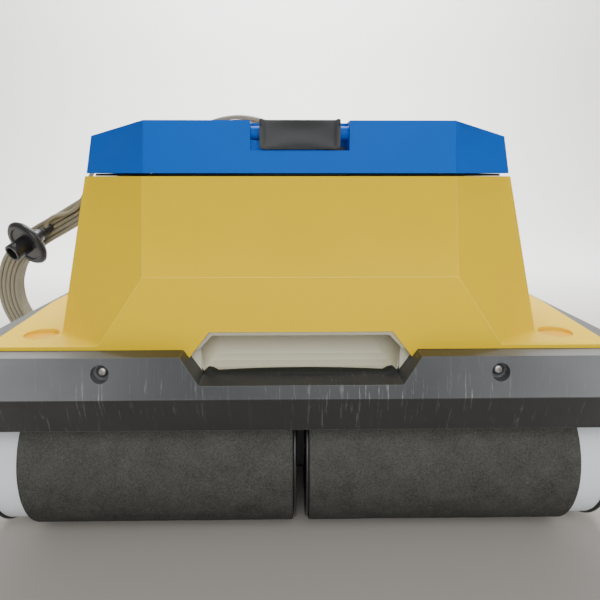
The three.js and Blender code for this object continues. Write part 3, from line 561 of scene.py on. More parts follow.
turn_back += [in_hank(-0.021, BEND + 0.043, over), in_hank(-0.050, BEND + 0.022, over),
              in_hank(-0.088, BEND + 0.008, over)]
plug_mid, plug_axis = Vector((-0.473, 0.241, 0.2485)), Vector((-0.46, -0.77, -0.44)).normalized()
plug_end = plug_mid - plug_axis * 0.0303
tail = [Vector((-0.446, 0.2685, 0.285)), plug_end - plug_axis * 0.006, plug_end]
route = lead_in + laid + turn_back + tail
print(len(route), "points in the cable's route, laps", len(lanes))

# %% Cable as one curve
line = bpy.data.curves.new("floating_cable", "CURVE")
line.dimensions, line.resolution_u = "3D", 5
line.bevel_depth, line.bevel_resolution, line.use_fill_caps = SHEATH / 2, 3, True
spline = line.splines.new("BEZIER")
spline.bezier_points.add(len(route) - 1)
for point, spot in zip(spline.bezier_points, route):
    point.co, point.handle_left_type, point.handle_right_type = spot, "AUTO", "AUTO"
cable = bpy.data.objects.new("floating_cable", line)
bpy.context.scene.collection.objects.link(cable)
line.materials.append(EARTHY.material)
settle(cable, "chassis", "cable_beige", "cable_coil", "cable_lead", "cable_tail")
print("cable length", round(spline.calc_length(), 2), "m")

# %% [markdown]
# ## Ties, plug and strain reliefs
# Broad hook and loop straps hold the hank, each wrapped flat round all the turns.
# The plug is a round black shell with a knurled ring that is turned by hand. Where the cable enters it,
# and where it leaves the hull, a ribbed rubber sleeve keeps it from kinking. Both sleeves are spun from a
# half outline.

# %% Hank ties
def strap(name, u, side, width=0.022, thick=0.0016):
    """A strap round the bundle at u on one long side."""
    made, wide, deep, corner, loops = bmesh.new(), 0.0212, 0.0176, 0.006, []
    outline = []
    for cx, cy, start in ((1, 1, 0), (-1, 1, 90), (-1, -1, 180), (1, -1, 270)):
        for k in range(5):
            a = math.radians(start + 22.5 * k)
            outline.append((cx * (wide - corner), cy * (deep - corner), math.cos(a), math.sin(a)))
    for along in (-width / 2, -width / 2 + 0.0008, width / 2 - 0.0008, width / 2):
        inset = 0.0008 if abs(along) == width / 2 else 0
        for radius in (corner, corner + thick - inset):
            loops.append([made.verts.new(in_hank(u + along, side * (BEND + x + c * radius), y + s * radius))
                          for x, y, c, s in outline])
    outer, inner = loops[1::2], loops[0::2]
    order = outer + inner[::-1]
    for here, there in zip(order, order[1:] + order[:1]):
        for i in range(len(here)):
            k = (i + 1) % len(here)
            made.faces.new((here[i], here[k], there[k], there[i]))
    bmesh.ops.recalc_face_normals(made, faces=made.faces)
    return settle(show(mesh_of(made, name), name, RUBBER), "chassis", "belt_rubber")


ties = [strap("hank_tie_1", 0.125, 1), strap("hank_tie_2", -0.02, -1), strap("hank_tie_3", -0.150, -1)]
print(len(ties), "ties")

# %% Plug, gland and sleeves
def aimed(made, spot, direction):
    """Turns a mesh made about Z so that it points along direction, and puts it at spot."""
    turn = Vector((0, 0, 1)).rotation_difference(Vector(direction)).to_matrix().to_4x4()
    made.transform(Matrix.Translation(Vector(spot)) @ turn)
    return made


def tapered_sleeve(length, first, last, ribs, bore):
    """A ribbed sleeve about Z: ribs stand proud of a cone and the bore holds the cable."""
    outline = [(0.0, bore), (0.0, first)]
    for i in range(ribs):
        here, there = (i + 0.25) / ribs, (i + 0.8) / ribs
        r = first + (last - first) * (i + 0.5) / ribs
        outline += [(here * length, r), (here * length + 0.0004, r + 0.0009),
                    (there * length - 0.0004, r + 0.0009), (there * length, r - 0.0003)]
    outline += [(length, last), (length, bore)]
    return spun(outline, (0, 0, 0), "Z", 40)


moulded("cable_gland", BLACK, width=0.0006)
boot = aimed(tapered_sleeve(0.024, 0.0072, 0.0052, 5, 0.0036), gland_end - normal * 0.0012,
             route[2] - gland_end)
gland_boot = settle(show(mesh_of(boot, "gland_boot"), "gland_boot", RUBBER), "chassis", "belt_rubber")
plug_boot_mesh = aimed(tapered_sleeve(0.030, 0.0078, 0.0052, 6, 0.0036), plug_end + plug_axis * 0.001,
                       -plug_axis)
plug_boot = settle(show(mesh_of(plug_boot_mesh, "plug_boot"), "plug_boot", RUBBER), "chassis", "belt_rubber")

shell_outline = [(-0.030, 0.0005), (-0.030, 0.0072), (-0.0285, 0.0090), (-0.025, 0.0120), (-0.016, 0.0134),
                 (-0.008, 0.0142), (-0.004, 0.0155), (0.0300, 0.0155), (0.0304, 0.0151), (0.0318, 0.0151),
                 (0.0322, 0.0155), (0.0372, 0.0155), (0.0380, 0.0149), (0.0380, 0.0118), (0.0372, 0.0110),
                 (0.0160, 0.0110), (0.0160, 0.0005)]
plug_shell = aimed(spun(shell_outline, (0, 0, 0), "Z", 64), plug_mid, plug_axis)
plug_body = settle(show(mesh_of(plug_shell, "plug_shell"), "plug_shell", BLACK), "chassis", "black_plastic",
                   "plug_body")
collar_outline = [(-0.0030, 0.0158), (-0.0030, 0.0365), (-0.0022, 0.0385), (0.0006, 0.0408), (0.0020, 0.0412),
                  (0.0050, 0.0412), (0.0064, 0.0408), (0.0092, 0.0385), (0.0100, 0.0365), (0.0100, 0.0310),
                  (0.0078, 0.0290), (0.0078, 0.0158)]
collar_ring = spun(collar_outline, (0, 0, 0), "Z", 96)
print("plug and sleeves made")

# %% [markdown]
# ## Ribs and teeth placed by rule
# A knurled ring, a toothed belt and a row of stiffening ribs are all the same thought: one small shape,
# copied along a line or round a ring. Two node trees hold that thought, with the count and the sizes as
# named inputs, and each use sets its own numbers.

# %% Row and ring trees
def prototype(made):
    """A hidden object that holds the small shape to be copied."""
    carrier = bpy.data.objects.new("prototype", mesh_of(made, "prototype"))
    bpy.context.scene.collection.objects.link(carrier)
    return carrier


def in_row(rib, finish, count, first, step, turn=(0.0, 0.0, 0.0)):
    """count copies of rib, each one step further."""
    carrier = prototype(rib)
    grow = Grow("row of ribs", Count=count, First=tuple(first), Step=tuple(step), Turn=tuple(turn),
                Rib=carrier)
    line = grow.node("GeometryNodeMeshLine", {"mode": "OFFSET"}, Count=grow.size("Count"),
                     Start_Location=grow.size("First"), Offset=grow.size("Step"))
    shape = grow.node("GeometryNodeObjectInfo", Object=grow.size("Rib"))
    copies = grow.node("GeometryNodeInstanceOnPoints", Points=line.outputs["Mesh"],
                       Instance=shape.outputs["Geometry"], Rotation=grow.size("Turn"))
    mesh = grow.mesh(copies.outputs["Instances"], finish)
    bpy.data.objects.remove(carrier)
    return mesh


def in_ring(rib, finish, count, radius, spot=(0.0, 0.0, 0.0), tip=(0.0, 0.0, 0.0)):
    """count copies of rib round a ring. The rib's own X points outwards, and tip turns the whole ring."""
    carrier = prototype(rib)
    grow = Grow("ring of ribs", Count=count, Radius=radius, Spot=tuple(spot), Tip=tuple(tip), Rib=carrier)
    circle = grow.node("GeometryNodeMeshCircle", Vertices=grow.size("Count"), Radius=grow.size("Radius"))
    shape = grow.node("GeometryNodeObjectInfo", Object=grow.size("Rib"))
    place = grow.node("GeometryNodeInputPosition")
    facing = grow.node("FunctionNodeAlignRotationToVector", {"axis": "X", "pivot_axis": "Z"},
                       Vector=place.outputs[0])
    copies = grow.node("GeometryNodeInstanceOnPoints", Points=circle.outputs["Mesh"],
                       Instance=shape.outputs["Geometry"], Rotation=facing.outputs[0])
    whole = grow.node("GeometryNodeTransform", Geometry=copies.outputs["Instances"],
                      Translation=grow.size("Spot"), Rotation=grow.size("Tip"))
    mesh = grow.mesh(whole.outputs[0], finish)
    bpy.data.objects.remove(carrier)
    return mesh


def together(name, *parts):
    """Plain meshes and meshes in the making, as one mesh."""
    whole = bmesh.new()
    for part in parts:
        mesh = mesh_of(part, "part") if isinstance(part, bmesh.types.BMesh) else part
        whole.from_mesh(mesh)
        bpy.data.meshes.remove(mesh)
    return mesh_of(whole, name)


def laid_across(x, y, z):
    """Turns a ring made about Z so that its axle runs across the machine, at the given place."""
    return Matrix.Translation((x, y, z)) @ Euler((0, math.pi / 2, 0)).to_matrix().to_4x4()


GRIPS = 60
knurl = in_ring(block((-0.0012, -0.0009, -0.0022), (0.0006, 0.0009, 0.0022), 0.0004, 1), BLACK, GRIPS, 0.0412,
                (0.0, 0.0, 0.0035))
ring_mesh = aimed(together("plug_ring", collar_ring, knurl), plug_mid, plug_axis)
plug_ring = settle(show(ring_mesh, "plug_ring", BLACK), "chassis", "black_plastic", "plug_collar")
print("ring of", GRIPS, "grips on the plug")

# %% [markdown]
# ## The yellow hull
# The hull is one big moulding: a deck, walls that fold in the middle, and a bevelled facet at each corner.
# The mould leaves soft inside corners where the walls stand on the deck, and small rounds on every ridge.
# The frame's solid has the right planes, so the inside corners are rounded first, widely, and the ridges
# after, finely.

# %% Hull
def edges_where(made, rule):
    """The edges between two faces for which rule(edge, its middle, its direction) holds."""
    found = []
    for edge in made.edges:
        a, b = edge.verts[0].co, edge.verts[1].co
        if len(edge.link_faces) == 2 and rule(edge, (a + b) / 2, (b - a).normalized()):
            found.append(edge)
    return found


hull = solid_of("hull_shell")
deck_low, deck_high = 0.2075, 0.2185


def at_a_wall_foot(edge, middle, direction):
    """True for a long inside edge between the flat deck and a steep wall."""
    steepness = [face.normal.z for face in edge.link_faces]
    if edge.is_convex or edge.calc_length() <= 0.02 or not deck_low < middle.z < deck_high:
        return False
    return max(steepness) > 0.97 and min(abs(z) for z in steepness) < 0.75


wall_feet = edges_where(hull, at_a_wall_foot)
bmesh.ops.bevel(hull, geom=wall_feet, offset=0.0065, segments=5, affect="EDGES", profile=0.5,
                clamp_overlap=True)
hull_piece = moulded("hull_shell", YELLOW, YELLOW_EDGE_HIGHLIGHT, width=0.0016, segments=3, angle=20,
                     name="hull_moulded", made=hull)
gusset_outline = [(0.0983, 0.2060), (0.1092, 0.2060), (0.1092, 0.2050), (0.1041, 0.1980)]
gussets = []
for sx in (-1, 1):
    for sy in (-1, 1):
        made = bmesh.new()
        near, far = ([made.verts.new((sx * x, sy * y, z)) for x, z in gusset_outline]
                     for y in (0.2509, 0.2470))
        made.faces.new(near)
        made.faces.new(far[::-1])
        for i in range(4):
            made.faces.new((near[i], far[i], far[(i + 1) % 4], near[(i + 1) % 4]))
        bmesh.ops.recalc_face_normals(made, faces=made.faces)
        gussets.append(made)
# Painted shade: a thin disc of darker orange lies on the floor of each dimple in the deck.
DIMPLE_SHADE = plastic("yellow hull plastic, painted shade in the dimples", (0.86, 0.46, 0.0), 0.45, (0.9, 0.6, 0.02), 0.10,
                 Specular_IOR_Level=0.12)
dimple_outline = [(0.2084, 0.0002), (0.20855, 0.0002), (0.20855, 0.0161), (0.2084, 0.0163)]
dimple_shade_sheets = [spun(dimple_outline, (0.2555 * sx, 0.214 * sy, 0), "Z", 48) for sx in (-1, 1) for sy in (-1, 1)]
settle(show(together("dimple_floors", *dimple_shade_sheets), "dimple_floors", DIMPLE_SHADE), "chassis", "hull_yellow")
settle(show(together("hull_gussets", *gussets), "hull_gussets", YELLOW), "chassis", "hull_yellow")
print(len(wall_feet), "inside corners on the deck, hull faces", len(hull_piece.data.polygons))

# %% [markdown]
# ## The lid, its pull latches and the dark collar under it
# The blue lid sits on a dark ring, with a gap that shows as a shadow line. At each end a pocket holds a grey
# latch on a steel pin between two blue knuckles. The pocket's corners are round and its back is ribbed.
# The latch is a dished plate: raised sides, a hollow for the fingertips and a low lip along the bottom.

# %% Lid and collar
lid = solid_of("top_cover")


def in_a_pocket_corner(edge, middle, direction):
    """True for the edges that run front to back at the sides of a latch pocket."""
    beside_pocket = abs(abs(middle.x) - 0.0475) < 0.0012 and abs(middle.y) > 0.162
    return abs(direction.y) > 0.95 and beside_pocket and middle.z > 0.386


pocket_corners = edges_where(lid, in_a_pocket_corner)
bmesh.ops.bevel(lid, geom=pocket_corners, offset=0.0035, segments=5, affect="EDGES", profile=0.5,
                clamp_overlap=True)
moulded("top_cover", BLUE, BLUE_EDGE_HIGHLIGHT, width=0.0013, segments=3, angle=20, name="lid_moulded", made=lid)
KNUCKLE = [(0.0388, 0.0031), (0.0388, 0.0060), (0.0392, 0.0064),
           (0.0474, 0.0064), (0.0478, 0.0060), (0.0478, 0.0031)]
knuckles = []
for side in (-1, 1):
    for sign in (-1, 1):
        knuckles.append(spun([(side * a, r) for a, r in KNUCKLE], (0, sign * 0.182, 0.404), "X", 40))
settle(show(together("hinge_knuckles", *knuckles), "hinge_knuckles", BLUE), "cover", "cover_blue")
moulded("top_collar", OLIVE, width=0.0006, segments=2)
for end, sign in (("front", -1), ("rear", 1)):
    back = 0.163 * sign
    ribs = in_row(block((-0.0012, -0.0016, -0.0105), (0.0012, 0.0016, 0.0105), 0.0006, 1), BLUE, 15,
                  (-0.0434, back + sign * 0.0010, 0.4012), (0.0062, 0.0, 0.0))
    shade = block((-0.0465, min(back, back + sign * 0.0022), 0.3876),
                  (0.0465, max(back, back + sign * 0.0022), 0.3925), 0.0006, 1)
    settle(show(ribs, "pocket_ribs_" + end, BLUE), "cover", "cover_blue")
    settle(show(mesh_of(shade, "pocket_shade"), "pocket_shade_" + end, OLIVE), "cover", "collar_dark")
print(len(pocket_corners), "pocket corners rounded")


# %% Latches
def latch(end, sign):
    """A dished pull plate, made as a grid whose depth follows the dish and the raised sides."""
    half, top, bottom = 0.0385, 0.4150, 0.3882
    made, columns, rows_up = bmesh.new(), 44, 16
    front_y, back_y = 0.1990, 0.1938
    grid = []
    for i in range(columns + 1):
        s = 2 * i / columns - 1
        line_up = []
        for j in range(rows_up + 1):
            t = j / rows_up
            corner = max(0.0, (0.09 - t) / 0.09) ** 2 * 0.0030
            x = s * (half - corner * (1 if abs(s) > 0.6 else abs(s) / 0.6))
            side = max(0.0, (abs(s) - 0.86) / 0.06)
            raised = 0.0010 * min(1.0, side)
            up_the_dish = min(1.0, max(0.0, (t - 0.12) / 0.88))
            dish = 0.0028 * (1 - min(1.0, abs(s) / 0.86) ** 2) * math.sin(math.pi * up_the_dish) ** 0.7
            lip = 0.0007 if t < 0.10 and abs(s) < 0.9 else 0.0
            soft = 0.0006 * (max(0.0, 0.03 - t) / 0.03 + max(0.0, t - 0.97) / 0.03)
            line_up.append((x, sign * (front_y - 0.0014 + raised - dish + lip - soft),
                            bottom + (top - bottom) * t))
        grid.append(line_up)
    fronts = [[made.verts.new(p) for p in line_up] for line_up in grid]
    backs = [[made.verts.new((p[0] * 0.985, sign * back_y, p[2])) for p in line_up] for line_up in grid]
    for i in range(columns):
        for j in range(rows_up):
            made.faces.new((fronts[i][j], fronts[i + 1][j], fronts[i + 1][j + 1], fronts[i][j + 1]))
            made.faces.new((backs[i][j], backs[i][j + 1], backs[i + 1][j + 1], backs[i + 1][j]))
        for j, flip in ((0, 1), (rows_up, 0)):
            rim = (fronts[i][j], backs[i][j], backs[i + 1][j], fronts[i + 1][j])
            made.faces.new(rim if flip else rim[::-1])
    for i in (0, columns):
        for j in range(rows_up):
            made.faces.new((fronts[i][j], fronts[i][j + 1], backs[i][j + 1], backs[i][j]))
    bmesh.ops.recalc_face_normals(made, faces=made.faces)
    arms = []
    for side in (-1, 1):
        x0, x1 = sorted((side * 0.0345, side * 0.0383))
        arms.append(block((x0, min(sign * 0.1755, sign * 0.1950), 0.3985),
                          (x1, max(sign * 0.1755, sign * 0.1950), 0.4100), 0.0012))
        arms.append(block((x0, min(sign * 0.1925, sign * 0.1986), 0.4080),
                          (x1, max(sign * 0.1925, sign * 0.1986), 0.4160), 0.0010))
    mesh = together("latch_plate_" + end, made, *arms)
    return settle(show(mesh, "latch_plate_" + end, LATCH, smooth=35), end + "_latch", "latch_grey",
                  "latch_" + end)


latches = [latch("front", -1), latch("rear", 1)]
print("latches", [p.name for p in latches])

# %% [markdown]
# ## Bumpers, their screws and the hand holds
# Each bumper is a long slate beam with a ridge along its face and two deep screw wells. Pool steps have
# scratched it. Steel button screws with a hex socket sit at the bottom of the wells. The hand hold is a
# cream pocket behind a slanted window, and a low rim with a bump at each end runs below it.

# %% Bumpers
for end, sign in (("front", -1), ("rear", 1)):
    moulded("bumper_" + end, SLATE, SLATE_EDGE_HIGHLIGHT, width=0.0020, segments=3, angle=14,
            name="bumper_moulded_" + end)
    moulded("grip_liner_" + end, LINER, width=0.0016, segments=3, name="hand_hold_" + end)
    lip_near, lip_far = sorted((sign * 0.2420, sign * 0.2436))
    fillers = [block((low_x, lip_near, 0.1775), (low_x + 0.0145, lip_far, 0.2052), 0.0004)
               for low_x in (-0.1085, 0.0940)]
    settle(show(together("hand_hold_lips", *fillers), "hand_hold_lips_" + end, LINER), "chassis",
           "liner_cream")
    arch = bmesh.new()
    strips = []
    for i in range(41):
        x = -0.0925 + 0.185 * i / 40
        bump = 0.0046 * math.exp(-((abs(x) - 0.0860) / 0.0034) ** 4)
        rise = 0.1809 + 0.0030 * (1 - (x / 0.0925) ** 2) + bump
        section = [(0.2388, 0.1790), (0.2388, rise), (0.2396, rise + 0.0006), (0.2420, rise + 0.0004),
                   (0.2480, 0.1808), (0.2500, 0.1790)]
        strips.append([arch.verts.new((x, sign * y, z)) for y, z in section])
    for here, there in zip(strips, strips[1:]):
        for j in range(6):
            arch.faces.new((here[j], here[(j + 1) % 6], there[(j + 1) % 6], there[j]))
    arch.faces.new(strips[0])
    arch.faces.new(strips[-1][::-1])
    bmesh.ops.recalc_face_normals(arch, faces=arch.faces)
    settle(show(mesh_of(arch, "notch_rim"), "notch_rim_" + end, SLATE, smooth=30), "chassis", "bumper_slate")


# %% Screw heads placed on their seats
def screw(shaft):
    """A button head with a hex socket and its shaft, about Z, seated at z = 0."""
    steps, made, rings = 48, bmesh.new(), []
    hexagon = lambda a: 0.0020 / math.cos((a % (math.pi / 3)) - math.pi / 6)
    outline = [(-shaft, 0.0), (-shaft, 0.0030), (0.0, 0.0030), (0.0, 0.00515), (0.0003, 0.00525),
               (0.0012, 0.00515), (0.0021, 0.0044), (0.0028, 0.0035), (0.0032, 0.0026), (0.0032, hexagon),
               (0.0012, hexagon), (0.0012, 0.0)]
    for z, radius in outline:
        ring = []
        for a in (2 * math.pi * i / steps for i in range(steps)):
            r = radius(a) if callable(radius) else radius
            ring.append(made.verts.new((r * math.cos(a), r * math.sin(a), z)))
        rings.append(ring)
    for here, there in zip(rings, rings[1:]):
        for i in range(steps):
            k = (i + 1) % steps
            made.faces.new((here[i], here[k], there[k], there[i]))
    bmesh.ops.remove_doubles(made, verts=made.verts, dist=1e-7)
    bmesh.ops.recalc_face_normals(made, faces=made.faces)
    return made


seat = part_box("bumper_screw_2")
well_x, well_z = (seat[0].x + seat[1].x) / 2, (seat[0].z + seat[1].z) / 2
front_row = in_row(screw(0.037), STEEL, 2, (-well_x, -0.2663, well_z), (2 * well_x, 0.0, 0.0),
                   (math.pi / 2, 0.0, 0.0))
rear_row = in_row(screw(0.037), STEEL, 2, (-well_x, 0.2663, well_z), (2 * well_x, 0.0, 0.0),
                  (-math.pi / 2, 0.0, 0.0))
heads = show(together("bumper_screw_heads", front_row, rear_row), "bumper_screw_heads", STEEL, smooth=30)
settle(heads, "chassis", "stainless", "bumper_screw_1", "bumper_screw_2", "bumper_screw_3", "bumper_screw_4")
print("screw wells at", round(well_x, 3), round(well_z, 3))

# %% [markdown]
# ## Foam rollers
# Each half axle carries a white tube with a thick sleeve of dark porous foam, which grips wet tiles.
# A flanged black hub closes each end, and the outer one carries the belt pulley. All of them are spun
# shapes. The foam is soft, so its surface is a little uneven and its ends are rounded.

# %% Rollers
def foam_wobble(seed):
    """How far the foam's surface stands off a true round, at a place along it and an angle round it."""
    def wobble(along, a, radius):
        spot = Vector((along * 16, math.cos(a) * 1.3 + seed, math.sin(a) * 1.3))
        return (noise.noise(spot) * 0.00028 + noise.noise(spot * 4.3) * 0.00014) if radius > 0.073 else 0.0
    return wobble


def sleeve_outline(a, b, inner, outer, corner, pieces):
    """A sleeve's half section with round outer corners and many rings, so that it can be uneven."""
    arc = [(math.radians(90 * k / 4)) for k in range(5)]
    left = [(a + corner - corner * math.cos(t), outer - corner + corner * math.sin(t)) for t in arc]
    right = [(b - corner + corner * math.sin(t), outer - corner + corner * math.cos(t)) for t in arc]
    middle = [(a + corner + (b - a - 2 * corner) * k / pieces, outer) for k in range(1, pieces)]
    return [(a, inner), *left, *middle, *right, (b, inner)]


wheel_y, wheel_z = 0.188, 0.0755
for end in ENDS:
    for side in SIDES:
        low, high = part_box(f"roller_foam_{end}_{side}")
        middle_y, flip = (low.y + high.y) / 2, (1 if side == "right" else -1)
        body = f"roller_{end}_{side}"
        put = lambda pairs: [(flip * a, r) for a, r in pairs]
        axle = (0, middle_y, wheel_z)
        spin = lambda pairs, steps=96, wobble=None: spun(put(pairs), axle, "X", steps, wobble)
        near, far = min(abs(low.x), abs(high.x)), max(abs(low.x), abs(high.x))
        foam = spin(sleeve_outline(near, far, 0.0703, 0.0754, 0.0022, 36), 128,
                    foam_wobble(len(end) + 3 * flip))
        settle(show(mesh_of(foam, f"foam_sleeve_{end}_{side}"), f"foam_sleeve_{end}_{side}", FOAM), body,
               "roller_foam", f"roller_foam_{end}_{side}")
        tube = spin([(near, 0.0660), (near, 0.0698), (near + 0.0002, 0.0700), (0.2998, 0.0700),
                     (0.3006, 0.0697), (0.3010, 0.0690), (0.3010, 0.0660)])
        settle(show(mesh_of(tube, f"white_tube_{end}_{side}"), f"white_tube_{end}_{side}", WHITE), body,
               "roller_white", f"roller_tube_{end}_{side}")
        inner = spin([(0.0046, 0.0103), (0.0046, 0.0712), (0.0050, 0.0722), (0.0058, 0.0725),
                      (0.0068, 0.0725), (0.0074, 0.0721), (0.0076, 0.0712), (0.0076, 0.0657),
                      (0.0260, 0.0657), (0.0260, 0.0617), (0.0120, 0.0617), (0.0120, 0.0160),
                      (0.0300, 0.0160), (0.0300, 0.0103)])
        settle(show(mesh_of(inner, f"inner_flange_{end}_{side}"), f"inner_flange_{end}_{side}", BLACK), body,
               "hub_black", f"inner_hub_{end}_{side}")
        hub = spin([(0.2700, 0.0103), (0.2700, 0.0160), (0.2960, 0.0160), (0.2960, 0.0617), (0.2820, 0.0617),
                    (0.2820, 0.0657), (0.3013, 0.0657), (0.3013, 0.0712), (0.3017, 0.0719), (0.3025, 0.0720),
                    (0.3034, 0.0720), (0.3041, 0.0717), (0.3043, 0.0710), (0.3043, 0.0294), (0.3155, 0.0294),
                    (0.3155, 0.0103)])
        teeth = in_ring(block((-0.0008, -0.0015, -0.0046), (0.0006, 0.0015, 0.0046), 0.0004, 1), BLACK, 28,
                        0.0294)
        teeth.transform(laid_across(flip * 0.3104, middle_y, wheel_z))
        settle(show(together("hub", hub, teeth), f"pulley_hub_{end}_{side}", BLACK), body, "hub_black",
               f"outer_hub_{end}_{side}")
print("four rollers spun")

# %% [markdown]
# ## Drive belts and pulleys
# A toothed rubber belt runs over the motor's pulley and both roller hubs on each side. Its teeth face
# inwards. The belt's path is the tightest loop round three circles, and a node tree lays one tooth every few
# millimetres along it.

# %% Belts
def loop_round(circles, grow, steps=64):
    """The tight loop round circles of (y, z, radius), as points in order."""
    cloud = []
    for y, z, r in circles:
        for a in (2 * math.pi * i / steps for i in range(steps)):
            cloud.append((y + (r + grow) * math.cos(a), z + (r + grow) * math.sin(a)))
    cloud.sort()

    def turn(a, b, c):
        return (b[0] - a[0]) * (c[1] - a[1]) - (b[1] - a[1]) * (c[0] - a[0])

    def half(points):
        """One side of the loop: points that would make it bend inwards are dropped."""
        out = []
        for p in points:
            while len(out) > 1 and turn(out[-2], out[-1], p) <= 1e-12:
                out.pop()
            out.append(p)
        return out[:-1]

    return half(cloud) + half(cloud[::-1])


def even_loop(points, count):
    """The same loop with evenly spaced points."""
    ends = list(zip(points, points[1:] + points[:1]))
    lengths = [math.dist(a, b) for a, b in ends]
    total, out, i, gone = sum(lengths), [], 0, 0.0
    for k in range(count):
        want = total * k / count
        while gone + lengths[i] < want:
            gone += lengths[i]
            i += 1
        (a, b), share = ends[i], (want - gone) / lengths[i]
        out.append((a[0] + (b[0] - a[0]) * share, a[1] + (b[1] - a[1]) * share))
    return out


PULLEY = [(0.2690, 0.0005), (0.2690, 0.0060), (0.2870, 0.0060), (0.2870, 0.0110),
          (0.3055, 0.0110), (0.3055, 0.0214), (0.3153, 0.0214), (0.3153, 0.0005)]
CIRCLES = [(-wheel_y, wheel_z, 0.030), (wheel_y, wheel_z, 0.030), (0.0, 0.120, 0.022)]
for side, flip in (("left", -1), ("right", 1)):
    x0, x1 = sorted((flip * 0.3060, flip * 0.3150))
    inner, outer = (even_loop(loop_round(CIRCLES, grown), 260) for grown in (0.0014, 0.0028))
    made = bmesh.new()
    loops = [[made.verts.new((x, y, z)) for y, z in loop]
             for x, loop in ((x0, inner), (x1, inner), (x1, outer), (x0, outer))]
    for here, there in zip(loops, loops[1:] + loops[:1]):
        for i in range(260):
            k = (i + 1) % 260
            made.faces.new((here[i], here[k], there[k], there[i]))
    bmesh.ops.recalc_face_normals(made, faces=made.faces)
    path = bmesh.new()
    spots = [path.verts.new(((x0 + x1) / 2, y, z)) for y, z in even_loop(loop_round(CIRCLES, 0.0013), 240)]
    for a, b in zip(spots, spots[1:] + spots[:1]):
        path.edges.new((a, b))
    tooth = prototype(block((-0.0043, -0.0012, -0.0008), (0.0043, 0.0012, 0.0008), 0.0004, 1))
    grow = Grow("belt teeth", Teeth=196, Tooth=tooth)
    as_curve = grow.node("GeometryNodeMeshToCurve", Mesh=grow.size("Base"))
    points = grow.node("GeometryNodeCurveToPoints", {"mode": "COUNT"}, Curve=as_curve.outputs[0],
                       Count=grow.size("Teeth"))
    facing = grow.node("FunctionNodeAlignRotationToVector", {"axis": "Y", "pivot_axis": "X"},
                       Vector=points.outputs["Tangent"])
    shape = grow.node("GeometryNodeObjectInfo", Object=grow.size("Tooth"))
    copies = grow.node("GeometryNodeInstanceOnPoints", Points=points.outputs["Points"],
                       Instance=shape.outputs["Geometry"], Rotation=facing.outputs[0])
    teeth = grow.mesh(copies.outputs["Instances"], RUBBER, base=mesh_of(path, "belt line"))
    bpy.data.objects.remove(tooth)
    settle(show(together("belt", made, teeth), "toothed_belt_" + side, RUBBER), "chassis", "belt_rubber",
           "belt_" + side)
    wheel = spun([(flip * a, r) for a, r in PULLEY], (0, 0, 0.120), "X", 64)
    cogs = in_ring(block((-0.0008, -0.0014, -0.0046), (0.0006, 0.0014, 0.0046), 0.0004, 1), BLACK, 22, 0.0214)
    cogs.transform(laid_across(flip * 0.3104, 0, 0.120))
    settle(show(together("pulley", wheel, cogs), "toothed_pulley_" + side, BLACK), side + "_pulley",
           "black_plastic", "drive_pulley_" + side)
print("belts and pulleys made")

# %% [markdown]
# ## Chassis, side covers, motors, pump and filters
# The tray holds everything and hangs the rollers from brackets. Side covers hide the belts and are stiffened
# by ribs. Motors and pump have cooling ribs. The filter baskets are white frames with pleated cloth behind
# their windows.

# %% Chassis and covers
moulded("chassis_tray", DARK, width=0.0012, segments=2)
for end in ENDS:
    moulded("center_bracket_" + end, BLACK, width=0.0012, segments=3)
    moulded("intake_flap_" + end, RUBBER, width=0.0005, segments=2)
AXLE_RIM = [(-0.0012, 0.0108), (-0.0012, 0.0170), (0.0012, 0.0165),
            (0.0018, 0.0155), (0.0018, 0.0120), (0.0012, 0.0108)]
for side, flip in (("left", -1), ("right", 1)):
    moulded("side_cover_" + side, GREY, SLATE_EDGE_HIGHLIGHT, width=0.0016, segments=3,
            name="side_cover_moulded_" + side)
    face_x = flip * 0.3222
    rib = block((-0.0014, -0.0016, -0.030), (0.0014, 0.0016, 0.030), 0.0012, 2)
    ribs = in_row(rib, GREY, 15, (face_x, -0.1400, 0.1580), (0.0, 0.0200, 0.0))
    rim_outline = [(face_x + flip * depth, radius) for depth, radius in AXLE_RIM]
    rims = [spun(rim_outline, (0, y, wheel_z), "X", 64) for y in (-wheel_y, wheel_y)]
    settle(show(together("side cover ribs", ribs, *rims), "side_cover_ribs_" + side, GREY), "chassis",
           "side_grey")
    moulded("drive_motor_" + side, MOTOR, width=0.0010, segments=2)
    fins = in_ring(block((-0.0006, -0.0012, -0.026), (0.0016, 0.0012, 0.026), 0.0005, 1), MOTOR, 24, 0.0400)
    fins.transform(laid_across(flip * 0.2280, 0, 0.120))
    settle(show(fins, "motor_fins_" + side, MOTOR), "chassis", "motor_grey")
print("covers and motors made")

# %% Pump, impeller and grille
moulded("pump_duct", MOTOR, width=0.0008, segments=2)
moulded("pump_motor", BLACK, width=0.0010, segments=2)
pump_fins = in_ring(block((-0.0006, -0.0014, -0.050), (0.0020, 0.0014, 0.050), 0.0006, 1), BLACK, 20, 0.0400,
                    (0.0, 0.0, 0.100))
settle(show(pump_fins, "pump_motor_fins", BLACK), "chassis", "black_plastic")
moulded("impeller", CREAM, width=0.0006, segments=2)
moulded("outlet_grille", BLACK, width=0.0008, segments=2)
print("pump made")

